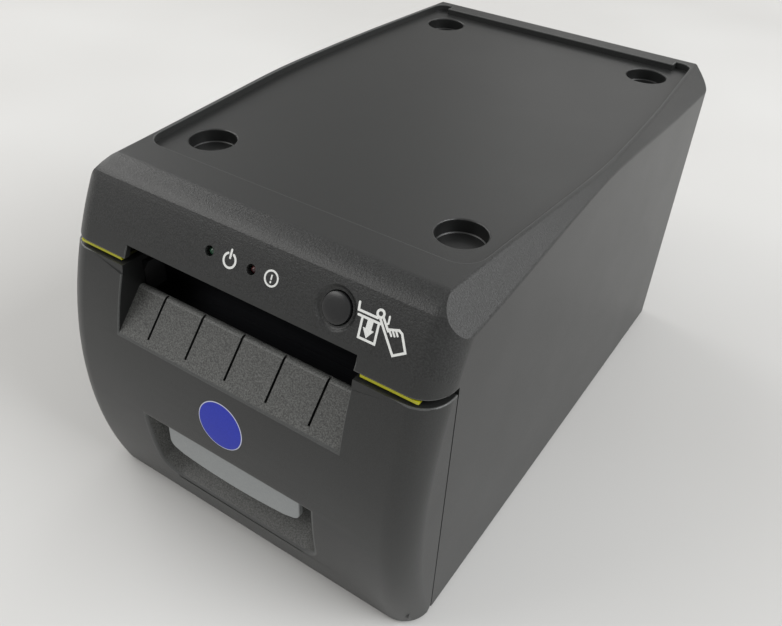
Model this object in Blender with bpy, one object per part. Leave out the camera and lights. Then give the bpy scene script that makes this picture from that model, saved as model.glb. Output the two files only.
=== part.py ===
"""Front-loading receipt printer with a sunken stacking tray on its top.

Metres, +Z up, the front faces -Y. The origin is on the table under the middle of the casing.
Outlines square to X are written as (y, z), those square to Y as (x, z) and those square to Z as (x, y).
"""

import math

import bmesh
import bpy
from mathutils import Matrix

# Driving sizes of the casing
CASE_WIDTH = 0.132
CASE_LENGTH = 0.2167
CASE_HEIGHT = 0.117
FOOT_HEIGHT = 0.002
WALL = 0.002
GAP = 0.0003
OVERRUN = 0.003
FRONT_RADIUS = 0.1327
FRONT_CENTRE_RISE = 0.047
CORNER_RADIUS = 0.009
TOP_EDGE_RADIUS = 0.006
REAR_CORNER_RADIUS = 0.005
FRONT_STEPS = 14
CORNER_STEPS = 5
ROUND_STEPS = 24

CASE_HALF = CASE_WIDTH / 2
CASE_TOP = FOOT_HEIGHT + CASE_HEIGHT
FRONT_Y = -CASE_LENGTH / 2
BACK_Y = CASE_LENGTH / 2
ARC_Y = FRONT_Y + FRONT_RADIUS
ARC_Z = FOOT_HEIGHT + FRONT_CENTRE_RISE
INSIDE_HALF = CASE_HALF - WALL

# Where the casing parts: the door below the fascia, and the seam down each side
FASCIA_RISE = 0.094
DOOR_TOP_GAP = 0.002
DOOR_DROP = 0.0005
DOOR_DEPTH = 0.0189
SEAM_GAP = 0.0005
FASCIA_Z = FOOT_HEIGHT + FASCIA_RISE
DOOR_TOP = FASCIA_Z - DOOR_TOP_GAP
DOOR_BOTTOM = FOOT_HEIGHT - DOOR_DROP
DOOR_BACK_Y = FRONT_Y + DOOR_DEPTH
SEAM_Y = DOOR_BACK_Y + SEAM_GAP

# Paper and its roll
PAPER_WIDTH = 0.0795
ROLL_RADIUS = 0.0395
SIDE_PLAY = 0.001

# Finishes, as the pieces look: colour in linear light, roughness and metallic
CASE_PLASTIC = ((0.060, 0.061, 0.063), 0.55, 0.0)
BLACK_PLASTIC = ((0.016, 0.016, 0.017), 0.6, 0.0)
SATIN_BLACK = ((0.016, 0.016, 0.017), 0.4, 0.0)
LEVER_PLASTIC = ((0.20, 0.20, 0.21), 0.5, 0.0)
GEAR_PLASTIC = ((0.78, 0.76, 0.70), 0.5, 0.0)
CERAMIC = ((0.72, 0.70, 0.64), 0.2, 0.0)
GROUND_STEEL = ((0.60, 0.60, 0.62), 0.3, 1.0)
SHEET_STEEL = ((0.52, 0.53, 0.54), 0.38, 1.0)
ALUMINIUM = ((0.70, 0.71, 0.73), 0.4, 1.0)
BOARD_GREEN = ((0.020, 0.120, 0.050), 0.4, 0.0)
BLACK_RUBBER = ((0.014, 0.014, 0.014), 0.8, 0.0)
BADGE_BLUE = ((0.035, 0.055, 0.42), 0.35, 0.0)
GUIDE_YELLOW = ((0.42, 0.44, 0.010), 0.3, 0.0)
GREEN_LENS = ((0.02, 0.30, 0.06), 0.2, 0.0)
RED_LENS = ((0.40, 0.02, 0.02), 0.2, 0.0)

for leftover in list(bpy.data.objects):
    bpy.data.objects.remove(leftover, do_unlink=True)

parts = bpy.data.collections.new("receipt_printer")
cutters = bpy.data.collections.new("cutters")
for collection in (parts, cutters):
    bpy.context.scene.collection.children.link(collection)
cutters.hide_render = True

AXES = {
    "X": Matrix(((0, 0, 1, 0), (1, 0, 0, 0), (0, 1, 0, 0), (0, 0, 0, 1))),
    "Y": Matrix(((1, 0, 0, 0), (0, 0, 1, 0), (0, 1, 0, 0), (0, 0, 0, 1))),
    "Z": Matrix.Identity(4),
}
MERGE = 1e-6
FLAT_ANGLE = 0.001
SHARP_ANGLE = math.radians(35)


def make_object(name, bm):
    """A free object from a bmesh, with faces pointing out."""
    bmesh.ops.recalc_face_normals(bm, faces=bm.faces)
    mesh = bpy.data.meshes.new(name)
    bm.to_mesh(mesh)
    bm.free()
    return bpy.data.objects.new(name, mesh)


def box(name, low, high):
    """A box between two corners."""
    bm = bmesh.new()
    size = [b - a for a, b in zip(low, high)]
    middle = [(a + b) / 2 for a, b in zip(low, high)]
    place = Matrix.Translation(middle) @ Matrix.Diagonal((*size, 1))
    bmesh.ops.create_cube(bm, size=1, matrix=place)
    return make_object(name, bm)


def rod(name, radius, axis, across, low, high, steps=ROUND_STEPS, tip=None):
    """A cylinder or cone along an axis, at the two coordinates given across it."""
    bm = bmesh.new()
    place = AXES[axis] @ Matrix.Translation((*across, (low + high) / 2))
    bmesh.ops.create_cone(bm, cap_ends=True, segments=steps, radius1=radius,
                          radius2=radius if tip is None else tip, depth=high - low, matrix=place)
    return make_object(name, bm)


def prism(name, outline, axis, low, high):
    """A flat outline square to an axis, drawn as a filled 2D curve and extruded from low to high."""
    curve = bpy.data.curves.new(name, "CURVE")
    curve.dimensions = "2D"
    curve.fill_mode = "BOTH"
    curve.extrude = (high - low) / 2
    spline = curve.splines.new("POLY")
    spline.points.add(len(outline) - 1)
    for point, (u, v) in zip(spline.points, outline):
        point.co = (u, v, 0, 1)
    spline.use_cyclic_u = True
    drawn = bpy.data.objects.new(name, curve)
    bpy.context.scene.collection.objects.link(drawn)
    evaluated = drawn.evaluated_get(bpy.context.evaluated_depsgraph_get())
    mesh = bpy.data.meshes.new_from_object(evaluated)
    bpy.data.objects.remove(drawn)
    bm = bmesh.new()
    bm.from_mesh(mesh)
    bpy.data.meshes.remove(mesh)
    bmesh.ops.remove_doubles(bm, verts=bm.verts, dist=MERGE)
    bmesh.ops.dissolve_limit(bm, angle_limit=FLAT_ANGLE, verts=bm.verts, edges=bm.edges)
    bmesh.ops.transform(bm, matrix=AXES[axis] @ Matrix.Translation((0, 0, (low + high) / 2)), verts=bm.verts)
    return make_object(name, bm)


def loft(name, rings):
    """A skin over rings of equal count, closed at both ends, for sections that change along the way."""
    bm = bmesh.new()
    rows = [[bm.verts.new(point) for point in ring] for ring in rings]
    count = len(rows[0])
    for row, following in zip(rows, rows[1:]):
        for i in range(count):
            bm.faces.new((row[i], row[(i + 1) % count], following[(i + 1) % count], following[i]))
    bm.faces.new(rows[0])
    bm.faces.new(rows[-1])
    return make_object(name, bm)


def turned(name, profile, axis, across, steps=ROUND_STEPS):
    """A solid of revolution about an axis: profile points are (radius, place along the axis)."""
    bm = bmesh.new()
    corners = [bm.verts.new((radius, 0, along)) for radius, along in profile]
    for first, second in zip(corners, corners[1:]):
        bm.edges.new((first, second))
    bmesh.ops.spin(bm, geom=bm.verts[:] + bm.edges[:], cent=(0, 0, 0), axis=(0, 0, 1),
                   angle=2 * math.pi, steps=steps, use_merge=True)
    bmesh.ops.remove_doubles(bm, verts=bm.verts, dist=MERGE)
    bmesh.ops.transform(bm, matrix=AXES[axis] @ Matrix.Translation((*across, 0)), verts=bm.verts)
    return make_object(name, bm)


def joined(name, *shapes):
    """Separate solids gathered in one object."""
    bm = bmesh.new()
    for shape in shapes:
        bm.from_mesh(shape.data)
        bpy.data.objects.remove(shape)
    return make_object(name, bm)


def mirrored(shape):
    """The shape and its mirror image across the middle of the printer."""
    bm = bmesh.new()
    bm.from_mesh(shape.data)
    twin = bmesh.ops.duplicate(bm, geom=bm.verts[:] + bm.edges[:] + bm.faces[:])["geom"]
    twin_verts = [item for item in twin if isinstance(item, bmesh.types.BMVert)]
    bmesh.ops.scale(bm, vec=(-1, 1, 1), verts=twin_verts)
    name = shape.name
    bpy.data.objects.remove(shape)
    return make_object(name, bm)


def round_edges(shape, chosen, radius, steps=CORNER_STEPS):
    """Rounds the edges for which chosen(first corner, second corner) holds."""
    bm = bmesh.new()
    bm.from_mesh(shape.data)
    edges = [edge for edge in bm.edges if chosen(edge.verts[0].co, edge.verts[1].co)]
    bmesh.ops.bevel(bm, geom=edges, offset=radius, segments=steps, profile=0.5, affect="EDGES")
    bm.to_mesh(shape.data)
    bm.free()
    return shape


def boolean(target, tools, operation):
    """One exact Boolean of the target with all the tools, which are kept out of sight in a collection."""
    name = f"{target.name}_{len(target.modifiers)}_{operation.lower()}"
    gathered = bpy.data.collections.new(name)
    cutters.children.link(gathered)
    for tool in tools:
        gathered.objects.link(tool)
        tool.hide_render = True
        tool.display_type = "WIRE"
    modifier = target.modifiers.new(name, "BOOLEAN")
    modifier.operation = operation
    modifier.solver = "EXACT"
    modifier.operand_type = "COLLECTION"
    modifier.collection = gathered
    return target


def cut(target, *tools):
    return boolean(target, tools, "DIFFERENCE")


def fuse(target, *tools):
    return boolean(target, tools, "UNION")


def tilt(shape, angle, pivot):
    """Turns a shape about the X direction, at a (y, z) pivot."""
    there = Matrix.Translation((0, *pivot))
    shape.data.transform(there @ Matrix.Rotation(angle, 4, "X") @ there.inverted())
    return shape


def keep(shape, finish, carrier=None):
    """Puts a finished piece in the printer, with its own material, and hangs it on its joint's empty."""
    colour, roughness, metallic = finish
    material = bpy.data.materials.new(shape.name)
    material.use_nodes = True
    shader = material.node_tree.nodes["Principled BSDF"]
    shader.inputs["Base Color"].default_value = (*colour, 1)
    shader.inputs["Roughness"].default_value = roughness
    shader.inputs["Metallic"].default_value = metallic
    shape.data.materials.clear()
    shape.data.materials.append(material)
    shape.data.shade_smooth()
    shape.data.set_sharp_from_angle(angle=SHARP_ANGLE)
    parts.objects.link(shape)
    if carrier is not None:
        shape.parent = carrier
        shape.matrix_parent_inverse = Matrix.Translation(carrier.location).inverted()
    return shape


def joint_axis(name, place):
    """An empty on a joint's axis, which carries the pieces that move there."""
    empty = bpy.data.objects.new(name, None)
    empty.location = place
    parts.objects.link(empty)
    return empty


def front_y(z, inset=0.0):
    """Where the bowed front lies at a height."""
    return ARC_Y - math.sqrt((FRONT_RADIUS - inset) ** 2 - (z - ARC_Z) ** 2)


def arc_points(centre, radius, start, end, steps):
    """Points round a centre, from one angle to another."""
    angles = [start + (end - start) * i / steps for i in range(steps + 1)]
    return [(centre[0] + radius * math.cos(a), centre[1] + radius * math.sin(a)) for a in angles]


def case_block(name, inset, bottom, top, back):
    """The casing's outer form, or the same form drawn in by an inset."""
    rise = [bottom + (top - bottom) * i / FRONT_STEPS for i in range(FRONT_STEPS + 1)]
    outline = [(front_y(z, inset), z) for z in rise] + [(back, top), (back, bottom)]
    half = CASE_HALF - inset
    block = prism(name, outline, "X", -half, half)

    def at_side(p):
        return abs(abs(p.x) - half) < MERGE

    def on_front(p):
        return abs(math.hypot(p.y - ARC_Y, p.z - ARC_Z) - (FRONT_RADIUS - inset)) < MERGE

    def on_top_front(p):
        return abs(p.z - top) < MERGE and p.y < front_y(top, inset) + CORNER_RADIUS + MERGE

    round_edges(block,
                lambda a, b: at_side(a) and at_side(b) and a.x * b.x > 0 and on_front(a) and on_front(b),
                CORNER_RADIUS - inset)
    round_edges(block, lambda a, b: at_side(a) and at_side(b) and a.x * b.x > 0
                and abs(a.y - back) < MERGE and abs(b.y - back) < MERGE, REAR_CORNER_RADIUS - inset)
    return round_edges(block, lambda a, b: on_top_front(a) and on_top_front(b), TOP_EDGE_RADIUS - inset)


# Bowed chamfer along each side of the top: how far it comes in across the top, and down the side.
# Shares run from the front of the casing to its back.
CHAMFER_PLACE_SHARES = (0.0, 0.20, 0.36, 0.50, 0.62, 0.75, 0.88, 1.0)
CHAMFER_ACROSS = (0.0096, 0.0069, 0.0043, 0.0023, 0.0025, 0.0036, 0.0055, 0.0074)
CHAMFER_DOWN = (0.0112, 0.0080, 0.0045, 0.0022, 0.0036, 0.0060, 0.0076, 0.0084)
CHAMFER_STEPS = 16
WEDGE_REACH = 0.020
WEDGE_SIDE_SHARE = 0.7
WEDGE_MARGIN = 0.0005
ROOF_GUSSET = 0.008


def between(shares, values, share):
    """A smooth curve through the values at the shares."""
    share = min(max(share, shares[0]), shares[-1])
    i = max(k for k in range(len(shares) - 1) if shares[k] <= share)
    t = (share - shares[i]) / (shares[i + 1] - shares[i])
    span = shares[i + 1] - shares[i]

    def slope(k):
        low, high = max(k - 1, 0), min(k + 1, len(shares) - 1)
        return (values[high] - values[low]) / (shares[high] - shares[low]) * span

    return (values[i] * (2 * t ** 3 - 3 * t ** 2 + 1) + slope(i) * (t ** 3 - 2 * t ** 2 + t)
            + values[i + 1] * (3 * t ** 2 - 2 * t ** 3) + slope(i + 1) * (t ** 3 - t ** 2))


def chamfer_sizes(y):
    share = (y - FRONT_Y) / CASE_LENGTH
    across = between(CHAMFER_PLACE_SHARES, CHAMFER_ACROSS, share)
    down = between(CHAMFER_PLACE_SHARES, CHAMFER_DOWN, share)
    return across, down


def chamfer_wedges(name):
    """What the bowed chamfers take off, on both sides."""
    rings = []
    for i in range(-1, CHAMFER_STEPS + 2):
        y = FRONT_Y + CASE_LENGTH * i / CHAMFER_STEPS
        across, down = chamfer_sizes(y)
        length = math.hypot(across, down)
        out_x, out_z = down / length, across / length
        x = CASE_HALF - across / 2
        z = CASE_TOP - down / 2
        reach = length * WEDGE_SIDE_SHARE + WEDGE_MARGIN
        rings.append([
            (x - out_z * reach, y, z + out_x * reach),
            (x, y, z),
            (x + out_z * reach, y, z - out_x * reach),
            (x + out_x * WEDGE_REACH, y, z + out_z * WEDGE_REACH),
        ])
    return mirrored(loft(name, rings))


# Sunken tray on the top, with a cup for each foot of the machine that stands on it
TRAY_DEPTH = 0.0025
TRAY_FRONT = 0.036
TRAY_BACK_RIM = 0.0032
TRAY_SIDE_RIM = 0.0012
TRAY_CORNER = 0.0075
TRAY_REAR_CORNER = 0.0045
TRAY_SIDE_STEPS = 10
LEDGE_HALF = 0.0515
LEDGE_DEPTH = 0.004
CUP_RADIUS = 0.0075
CUP_DEPTH = 0.0045
CUP_X = 0.04525
CUP_FRONT = 0.0527
CUP_BACK = 0.1976
TRAY_FLOOR = CASE_TOP - TRAY_DEPTH
ROOF_INSIDE = TRAY_FLOOR - WALL
CUP_FLOOR = TRAY_FLOOR - CUP_DEPTH
CUP_PLACES = [(side * CUP_X, FRONT_Y + back) for side in (-1, 1) for back in (CUP_FRONT, CUP_BACK)]


def tray_outline():
    """The tray seen from above: its sides follow the bowed chamfers, and a ledge stands in at the back."""
    front = FRONT_Y + TRAY_FRONT
    back = BACK_Y - TRAY_BACK_RIM

    def side_x(y):
        return CASE_HALF - chamfer_sizes(y)[0] - TRAY_SIDE_RIM

    low, high = front + TRAY_CORNER, back - TRAY_REAR_CORNER
    right = arc_points((side_x(low) - TRAY_CORNER, low), TRAY_CORNER, -math.pi / 2, 0, CORNER_STEPS)
    for i in range(1, TRAY_SIDE_STEPS):
        y = low + (high - low) * i / TRAY_SIDE_STEPS
        right.append((side_x(y), y))
    right += arc_points((side_x(high) - TRAY_REAR_CORNER, high), TRAY_REAR_CORNER,
                        0, math.pi / 2, CORNER_STEPS)
    right += [(LEDGE_HALF, back), (LEDGE_HALF, back - LEDGE_DEPTH)]
    return right + [(-x, y) for x, y in reversed(right)]


# Controls on the fascia: each stands square to the bowed front at the same height
CONTROL_RISE = 0.1063
BUTTON_X = 0.0316
BUTTON_RADIUS = 0.0046
BUTTON_TRAVEL = 0.0012
BUTTON_PROUD_DEPTH = -0.0002
BUTTON_EDGE = 0.0006
BUTTON_FLANGE = 0.0010
BUTTON_EAR = 0.0016
LED_DEPTH = 0.0007
LED_FLANGE = 0.0004
SWITCH_HALF = 0.0030
DISH_RADIUS = 0.0063
DISH_DEPTH = 0.0006
GREEN_X = -0.0112
RED_X = 0.0037
LED_RADIUS = 0.0013
LED_HOLE_RADIUS = 0.0016
LENS_WIDTH_SHARE = 0.7
LENS_RISE_SHARE = 0.3
CONTROL_Z = FOOT_HEIGHT + CONTROL_RISE
CONTROL_TILT = math.asin((CONTROL_Z - ARC_Z) / FRONT_RADIUS)
CONTROL_PIVOT = (ARC_Y, ARC_Z)


def on_fascia(shape):
    """Turns a piece built along -Y from the front arc's centre so that it stands square to the fascia."""
    return tilt(shape, -CONTROL_TILT, CONTROL_PIVOT)


def depth_y(depth):
    """The y of a depth under the front face, before on_fascia turns it."""
    return ARC_Y - FRONT_RADIUS + depth


# Board behind the fascia
PANEL_DEPTH = 0.0056
PANEL_THICK = 0.0016
PANEL_LOW_X = -0.0185
PANEL_HIGH_X = 0.040
PANEL_HALF_HEIGHT = 0.006
POST_RADIUS = 0.0020
POST_XS = (-0.0158, 0.0180)
POST_BORE = 0.0009
SCREW_HEAD_RADIUS = 0.0017
SCREW_HEAD_THICK = 0.0010
SCREW_SHANK_RADIUS = 0.0006
SCREW_BITE = 0.0035

# Paper slot in the fascia's lower edge
SLOT_HALF = 0.0417
SLOT_RISE = 0.100
SLOT_TOP = FOOT_HEIGHT + SLOT_RISE
SLOT_CUT_DEPTH = 0.016

# Door hinge, low in the front corners
HINGE_RISE = 0.0045
HINGE_INSET = 0.01235
HINGE_Y = FRONT_Y + HINGE_INSET
HINGE_Z = FOOT_HEIGHT + HINGE_RISE
HINGE_PIN_RADIUS = 0.0013
HINGE_PLAY = 0.0003
HINGE_BOSS_RADIUS = 0.0032
HINGE_BOSS_LENGTH = 0.006
HINGE_SWEEP = DOOR_DEPTH - HINGE_INSET + HINGE_PLAY
EAR_THICK = 0.004
EAR_RADIUS = 0.0024
EAR_TOP = 0.0025
BOSS_X = INSIDE_HALF - HINGE_BOSS_LENGTH
EAR_HIGH = BOSS_X - SIDE_PLAY
EAR_LOW = EAR_HIGH - EAR_THICK

# Screws that hold the casing on the base
BASE_SCREW_X = 0.0606
BASE_SCREW_FRONT = 0.0303
BASE_SCREW_BACK = 0.0104
CASE_BOSS_RADIUS = 0.0037
CASE_BOSS_HEIGHT = 0.012
BASE_SCREW_RADIUS = 0.0013
BASE_HEAD_RADIUS = 0.0026
BASE_HEAD_THICK = 0.0010
BASE_THICK = 0.0025
BASE_TOP = FOOT_HEIGHT + BASE_THICK
BASE_SCREW_PLACES = [(side * BASE_SCREW_X, y) for side in (-1, 1)
                     for y in (FRONT_Y + BASE_SCREW_FRONT, BACK_Y - BASE_SCREW_BACK)]

# Window for the sockets, in the back of the casing
WINDOW_HALF = 0.045
WINDOW_LOW = 0.010
WINDOW_HIGH = 0.036


def top_housing():
    """Top, sides, back and upper front in one moulding, open below and where the door closes."""
    shell = case_block("top_housing", 0.0, FOOT_HEIGHT, CASE_TOP, BACK_Y)
    hollow = case_block("housing_hollow", WALL, FOOT_HEIGHT - OVERRUN, ROOF_INSIDE, BACK_Y - WALL)
    gusset_foot = (INSIDE_HALF + OVERRUN, ROOF_INSIDE - ROOF_GUSSET - OVERRUN)
    gusset_head = (INSIDE_HALF - ROOF_GUSSET - OVERRUN, ROOF_INSIDE + OVERRUN)
    cut(hollow, mirrored(prism("roof_gussets", [gusset_foot, (gusset_foot[0], gusset_head[1]), gusset_head],
                               "Y", FRONT_Y, BACK_Y)))
    cup_walls = joined("cup_walls", *[
        rod("cup_wall", CUP_RADIUS + WALL, "Z", place, CUP_FLOOR - WALL, ROOF_INSIDE + WALL / 2)
        for place in CUP_PLACES])
    bosses = joined("housing_bosses", *[
        rod("housing_boss", CASE_BOSS_RADIUS, "Z", place, BASE_TOP + GAP, BASE_TOP + CASE_BOSS_HEIGHT, 16)
        for place in BASE_SCREW_PLACES])
    posts = joined("panel_posts", *[
        on_fascia(rod("panel_post", POST_RADIUS, "Y", (x, ARC_Z),
                      depth_y(WALL / 2), depth_y(PANEL_DEPTH - GAP), 12))
        for x in POST_XS])
    cut(shell, hollow, chamfer_wedges("housing_chamfers"))
    fuse(shell, cup_walls, bosses, posts)
    boss_bores = joined("boss_bores", *[
        rod("boss_bore", BASE_SCREW_RADIUS + GAP, "Z", place,
            FOOT_HEIGHT, BASE_TOP + CASE_BOSS_HEIGHT - WALL, 12)
        for place in BASE_SCREW_PLACES])
    holes = [rod("button_hole", BUTTON_RADIUS + GAP, "Y", (BUTTON_X, ARC_Z),
                 depth_y(-OVERRUN), depth_y(WALL * 2))]
    holes += [rod("led_hole", LED_HOLE_RADIUS, "Y", (x, ARC_Z), depth_y(-OVERRUN), depth_y(WALL * 2), 16)
              for x in (GREEN_X, RED_X)]
    holes += [rod("post_bore", POST_BORE, "Y", (x, ARC_Z), depth_y(WALL), depth_y(PANEL_DEPTH + OVERRUN), 10)
              for x in POST_XS]
    cut(shell,
        box("door_opening", (-CASE_WIDTH, FRONT_Y - OVERRUN, -OVERRUN), (CASE_WIDTH, SEAM_Y, FASCIA_Z)),
        box("slot_notch", (-SLOT_HALF, FRONT_Y, FASCIA_Z - OVERRUN),
            (SLOT_HALF, FRONT_Y + SLOT_CUT_DEPTH, SLOT_TOP)),
        prism("tray", tray_outline(), "Z", TRAY_FLOOR, CASE_TOP + OVERRUN),
        joined("foot_cups", *[rod("foot_cup", CUP_RADIUS, "Z", place, CUP_FLOOR, TRAY_FLOOR + OVERRUN)
                              for place in CUP_PLACES]),
        boss_bores,
        on_fascia(joined("control_holes", *holes)),
        on_fascia(rod("button_dish", DISH_RADIUS, "Y", (BUTTON_X, ARC_Z),
                      depth_y(-OVERRUN), depth_y(DISH_DEPTH))),
        box("socket_window", (-WINDOW_HALF, BACK_Y - WALL - OVERRUN, WINDOW_LOW),
            (WINDOW_HALF, BACK_Y + OVERRUN, WINDOW_HIGH)))
    keep(shell, CASE_PLASTIC)


# Exit ramp on the door: from the face up to a rounded crest, with thin grooves
RAMP_HALF = 0.0416
RAMP_FOOT_RISE = 0.070
CREST_RISE = 0.0823
CREST_INSET = 0.01285
CREST_RADIUS = 0.0012
RAMP_BACK_INSET = 0.01515
RAMP_WALL = 0.002
GROOVE_COUNT = 5
GROOVE_PITCH = 0.0152
GROOVE_WIDTH = 0.0007
GROOVE_DEPTH = 0.0006
GROOVE_LENGTH_SHARE = 0.86
RAMP_FOOT_Z = FOOT_HEIGHT + RAMP_FOOT_RISE
RAMP_FOOT_Y = front_y(RAMP_FOOT_Z)
CREST_Z = FOOT_HEIGHT + CREST_RISE
CREST_Y = FRONT_Y + CREST_INSET
RAMP_BACK_Y = FRONT_Y + RAMP_BACK_INSET
RAMP_ANGLE = math.atan2(CREST_Z - RAMP_FOOT_Z, CREST_Y - RAMP_FOOT_Y)
RAMP_LENGTH = math.hypot(CREST_Z - RAMP_FOOT_Z, CREST_Y - RAMP_FOOT_Y)

# Finger recess low in the door, a scoop that narrows inwards
RECESS_HALF = 0.0333
RECESS_LOW_RISE = 0.014
RECESS_HIGH_RISE = 0.042
RECESS_DEPTH = 0.0143
RECESS_FLOOR_RISE = 0.010
RECESS_SIDE_DRAW = 0.005
RECESS_CORNER = 0.007
RECESS_LOW = FOOT_HEIGHT + RECESS_LOW_RISE
RECESS_HIGH = FOOT_HEIGHT + RECESS_HIGH_RISE

# Release lever, hung behind the recess's upper edge
LEVER_HALF = 0.0268
LEVER_THICK = 0.002
LEVER_FACE_INSET = 0.0030
LEVER_LOW_RISE = 0.0274
LEVER_END_LIFT = 0.0021
LEVER_CORNER = 0.0035
LEVER_BOW_SHARES = (0.75, 0.5, 0.25, 0.0)
LEVER_PIVOT_RISE = 0.0452
LEVER_PIVOT_INSET = 0.00435
LEVER_KNUCKLE = 0.0017
LEVER_PIN_RADIUS = 0.0011
LEVER_BOSS_HALF = 0.0031
LEVER_BOSS_THICK = 0.003
LEVER_ARM_HALF = 0.004
LEVER_ARM_RISE = 0.059
LEVER_Y = FRONT_Y + LEVER_PIVOT_INSET
LEVER_Z = FOOT_HEIGHT + LEVER_PIVOT_RISE
LEVER_FACE_Y = FRONT_Y + LEVER_FACE_INSET
LEVER_SLOT_PLAY = 0.0008
LEVER_SLOT_DEPTH = 0.0052

# Posts that carry the liner, and its screws
LINER_POST_X = 0.0385
LINER_POST_RADIUS = 0.003
LINER_POST_RISES = (0.018, 0.0525)
LINER_INSET = 0.01895
LINER_THICK = 0.002
LINER_FRONT_Y = FRONT_Y + LINER_INSET
LINER_BACK_Y = LINER_FRONT_Y + LINER_THICK
LINER_SCREW_RADIUS = 0.0011
LINER_SCREW_HEAD = 0.0024
LINER_HEAD_THICK = 0.0012
LINER_SCREW_BITE = 0.008
LINER_POST_PLACES = [(side * LINER_POST_X, FOOT_HEIGHT + rise)
                     for side in (-1, 1) for rise in LINER_POST_RISES]

# Round badge in a shallow seat on the door
BADGE_RISE = 0.0565
BADGE_RADIUS = 0.0085
BADGE_THICK = 0.0006
BADGE_SINK = 0.0003
BADGE_Z = FOOT_HEIGHT + BADGE_RISE
BADGE_TILT = math.asin((BADGE_Z - ARC_Z) / FRONT_RADIUS)


def recess_form(name, extra):
    """The scoop of the finger recess, or its outer wall when grown by extra."""
    high = RECESS_HIGH + extra
    rings = []
    for y in (FRONT_Y - OVERRUN, FRONT_Y + RECESS_DEPTH + extra):
        half = RECESS_HALF + extra - RECESS_SIDE_DRAW * (y - FRONT_Y) / RECESS_DEPTH
        low = RECESS_LOW - extra + RECESS_FLOOR_RISE * (y - front_y(RECESS_LOW)) / RECESS_DEPTH
        rings.append([(-half, y, low), (half, y, low), (half, y, high), (-half, y, high)])
    form = loft(name, rings)
    return round_edges(form, lambda a, b: abs(a.y - b.y) > OVERRUN and max(a.z, b.z) < high - OVERRUN,
                       RECESS_CORNER + extra / 2)


def ramp_cutter():
    """What is open above the ramp: it runs over the crest and down behind it."""
    crest = arc_points((CREST_Y + CREST_RADIUS / 2, CREST_Z - CREST_RADIUS), CREST_RADIUS,
                       math.pi / 2 + RAMP_ANGLE, math.pi / 4, 4)
    outline = [(RAMP_FOOT_Y, RAMP_FOOT_Z)] + crest
    outline += [(RAMP_BACK_Y, CREST_Z - CREST_RADIUS), (DOOR_BACK_Y + OVERRUN, CREST_Z - CREST_RADIUS)]
    outline += [(DOOR_BACK_Y + OVERRUN, DOOR_TOP + OVERRUN), (FRONT_Y - OVERRUN, DOOR_TOP + OVERRUN)]
    outline += [(FRONT_Y - OVERRUN, RAMP_FOOT_Z)]
    return prism("ramp_space", outline, "X", -RAMP_HALF, RAMP_HALF)


def ramp_grooves():
    """Thin grooves at an even pitch along the ramp."""
    grooves = []
    for i in range(GROOVE_COUNT):
        x = GROOVE_PITCH * (i - (GROOVE_COUNT - 1) / 2)
        start = RAMP_LENGTH * (1 - GROOVE_LENGTH_SHARE)
        groove = box("groove", (x - GROOVE_WIDTH / 2, RAMP_FOOT_Y + start, RAMP_FOOT_Z - GROOVE_DEPTH),
                     (x + GROOVE_WIDTH / 2, RAMP_FOOT_Y + RAMP_LENGTH + OVERRUN, RAMP_FOOT_Z + OVERRUN))
        grooves.append(tilt(groove, RAMP_ANGLE, (RAMP_FOOT_Y, RAMP_FOOT_Z)))
    return joined("ramp_grooves", *grooves)


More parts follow.
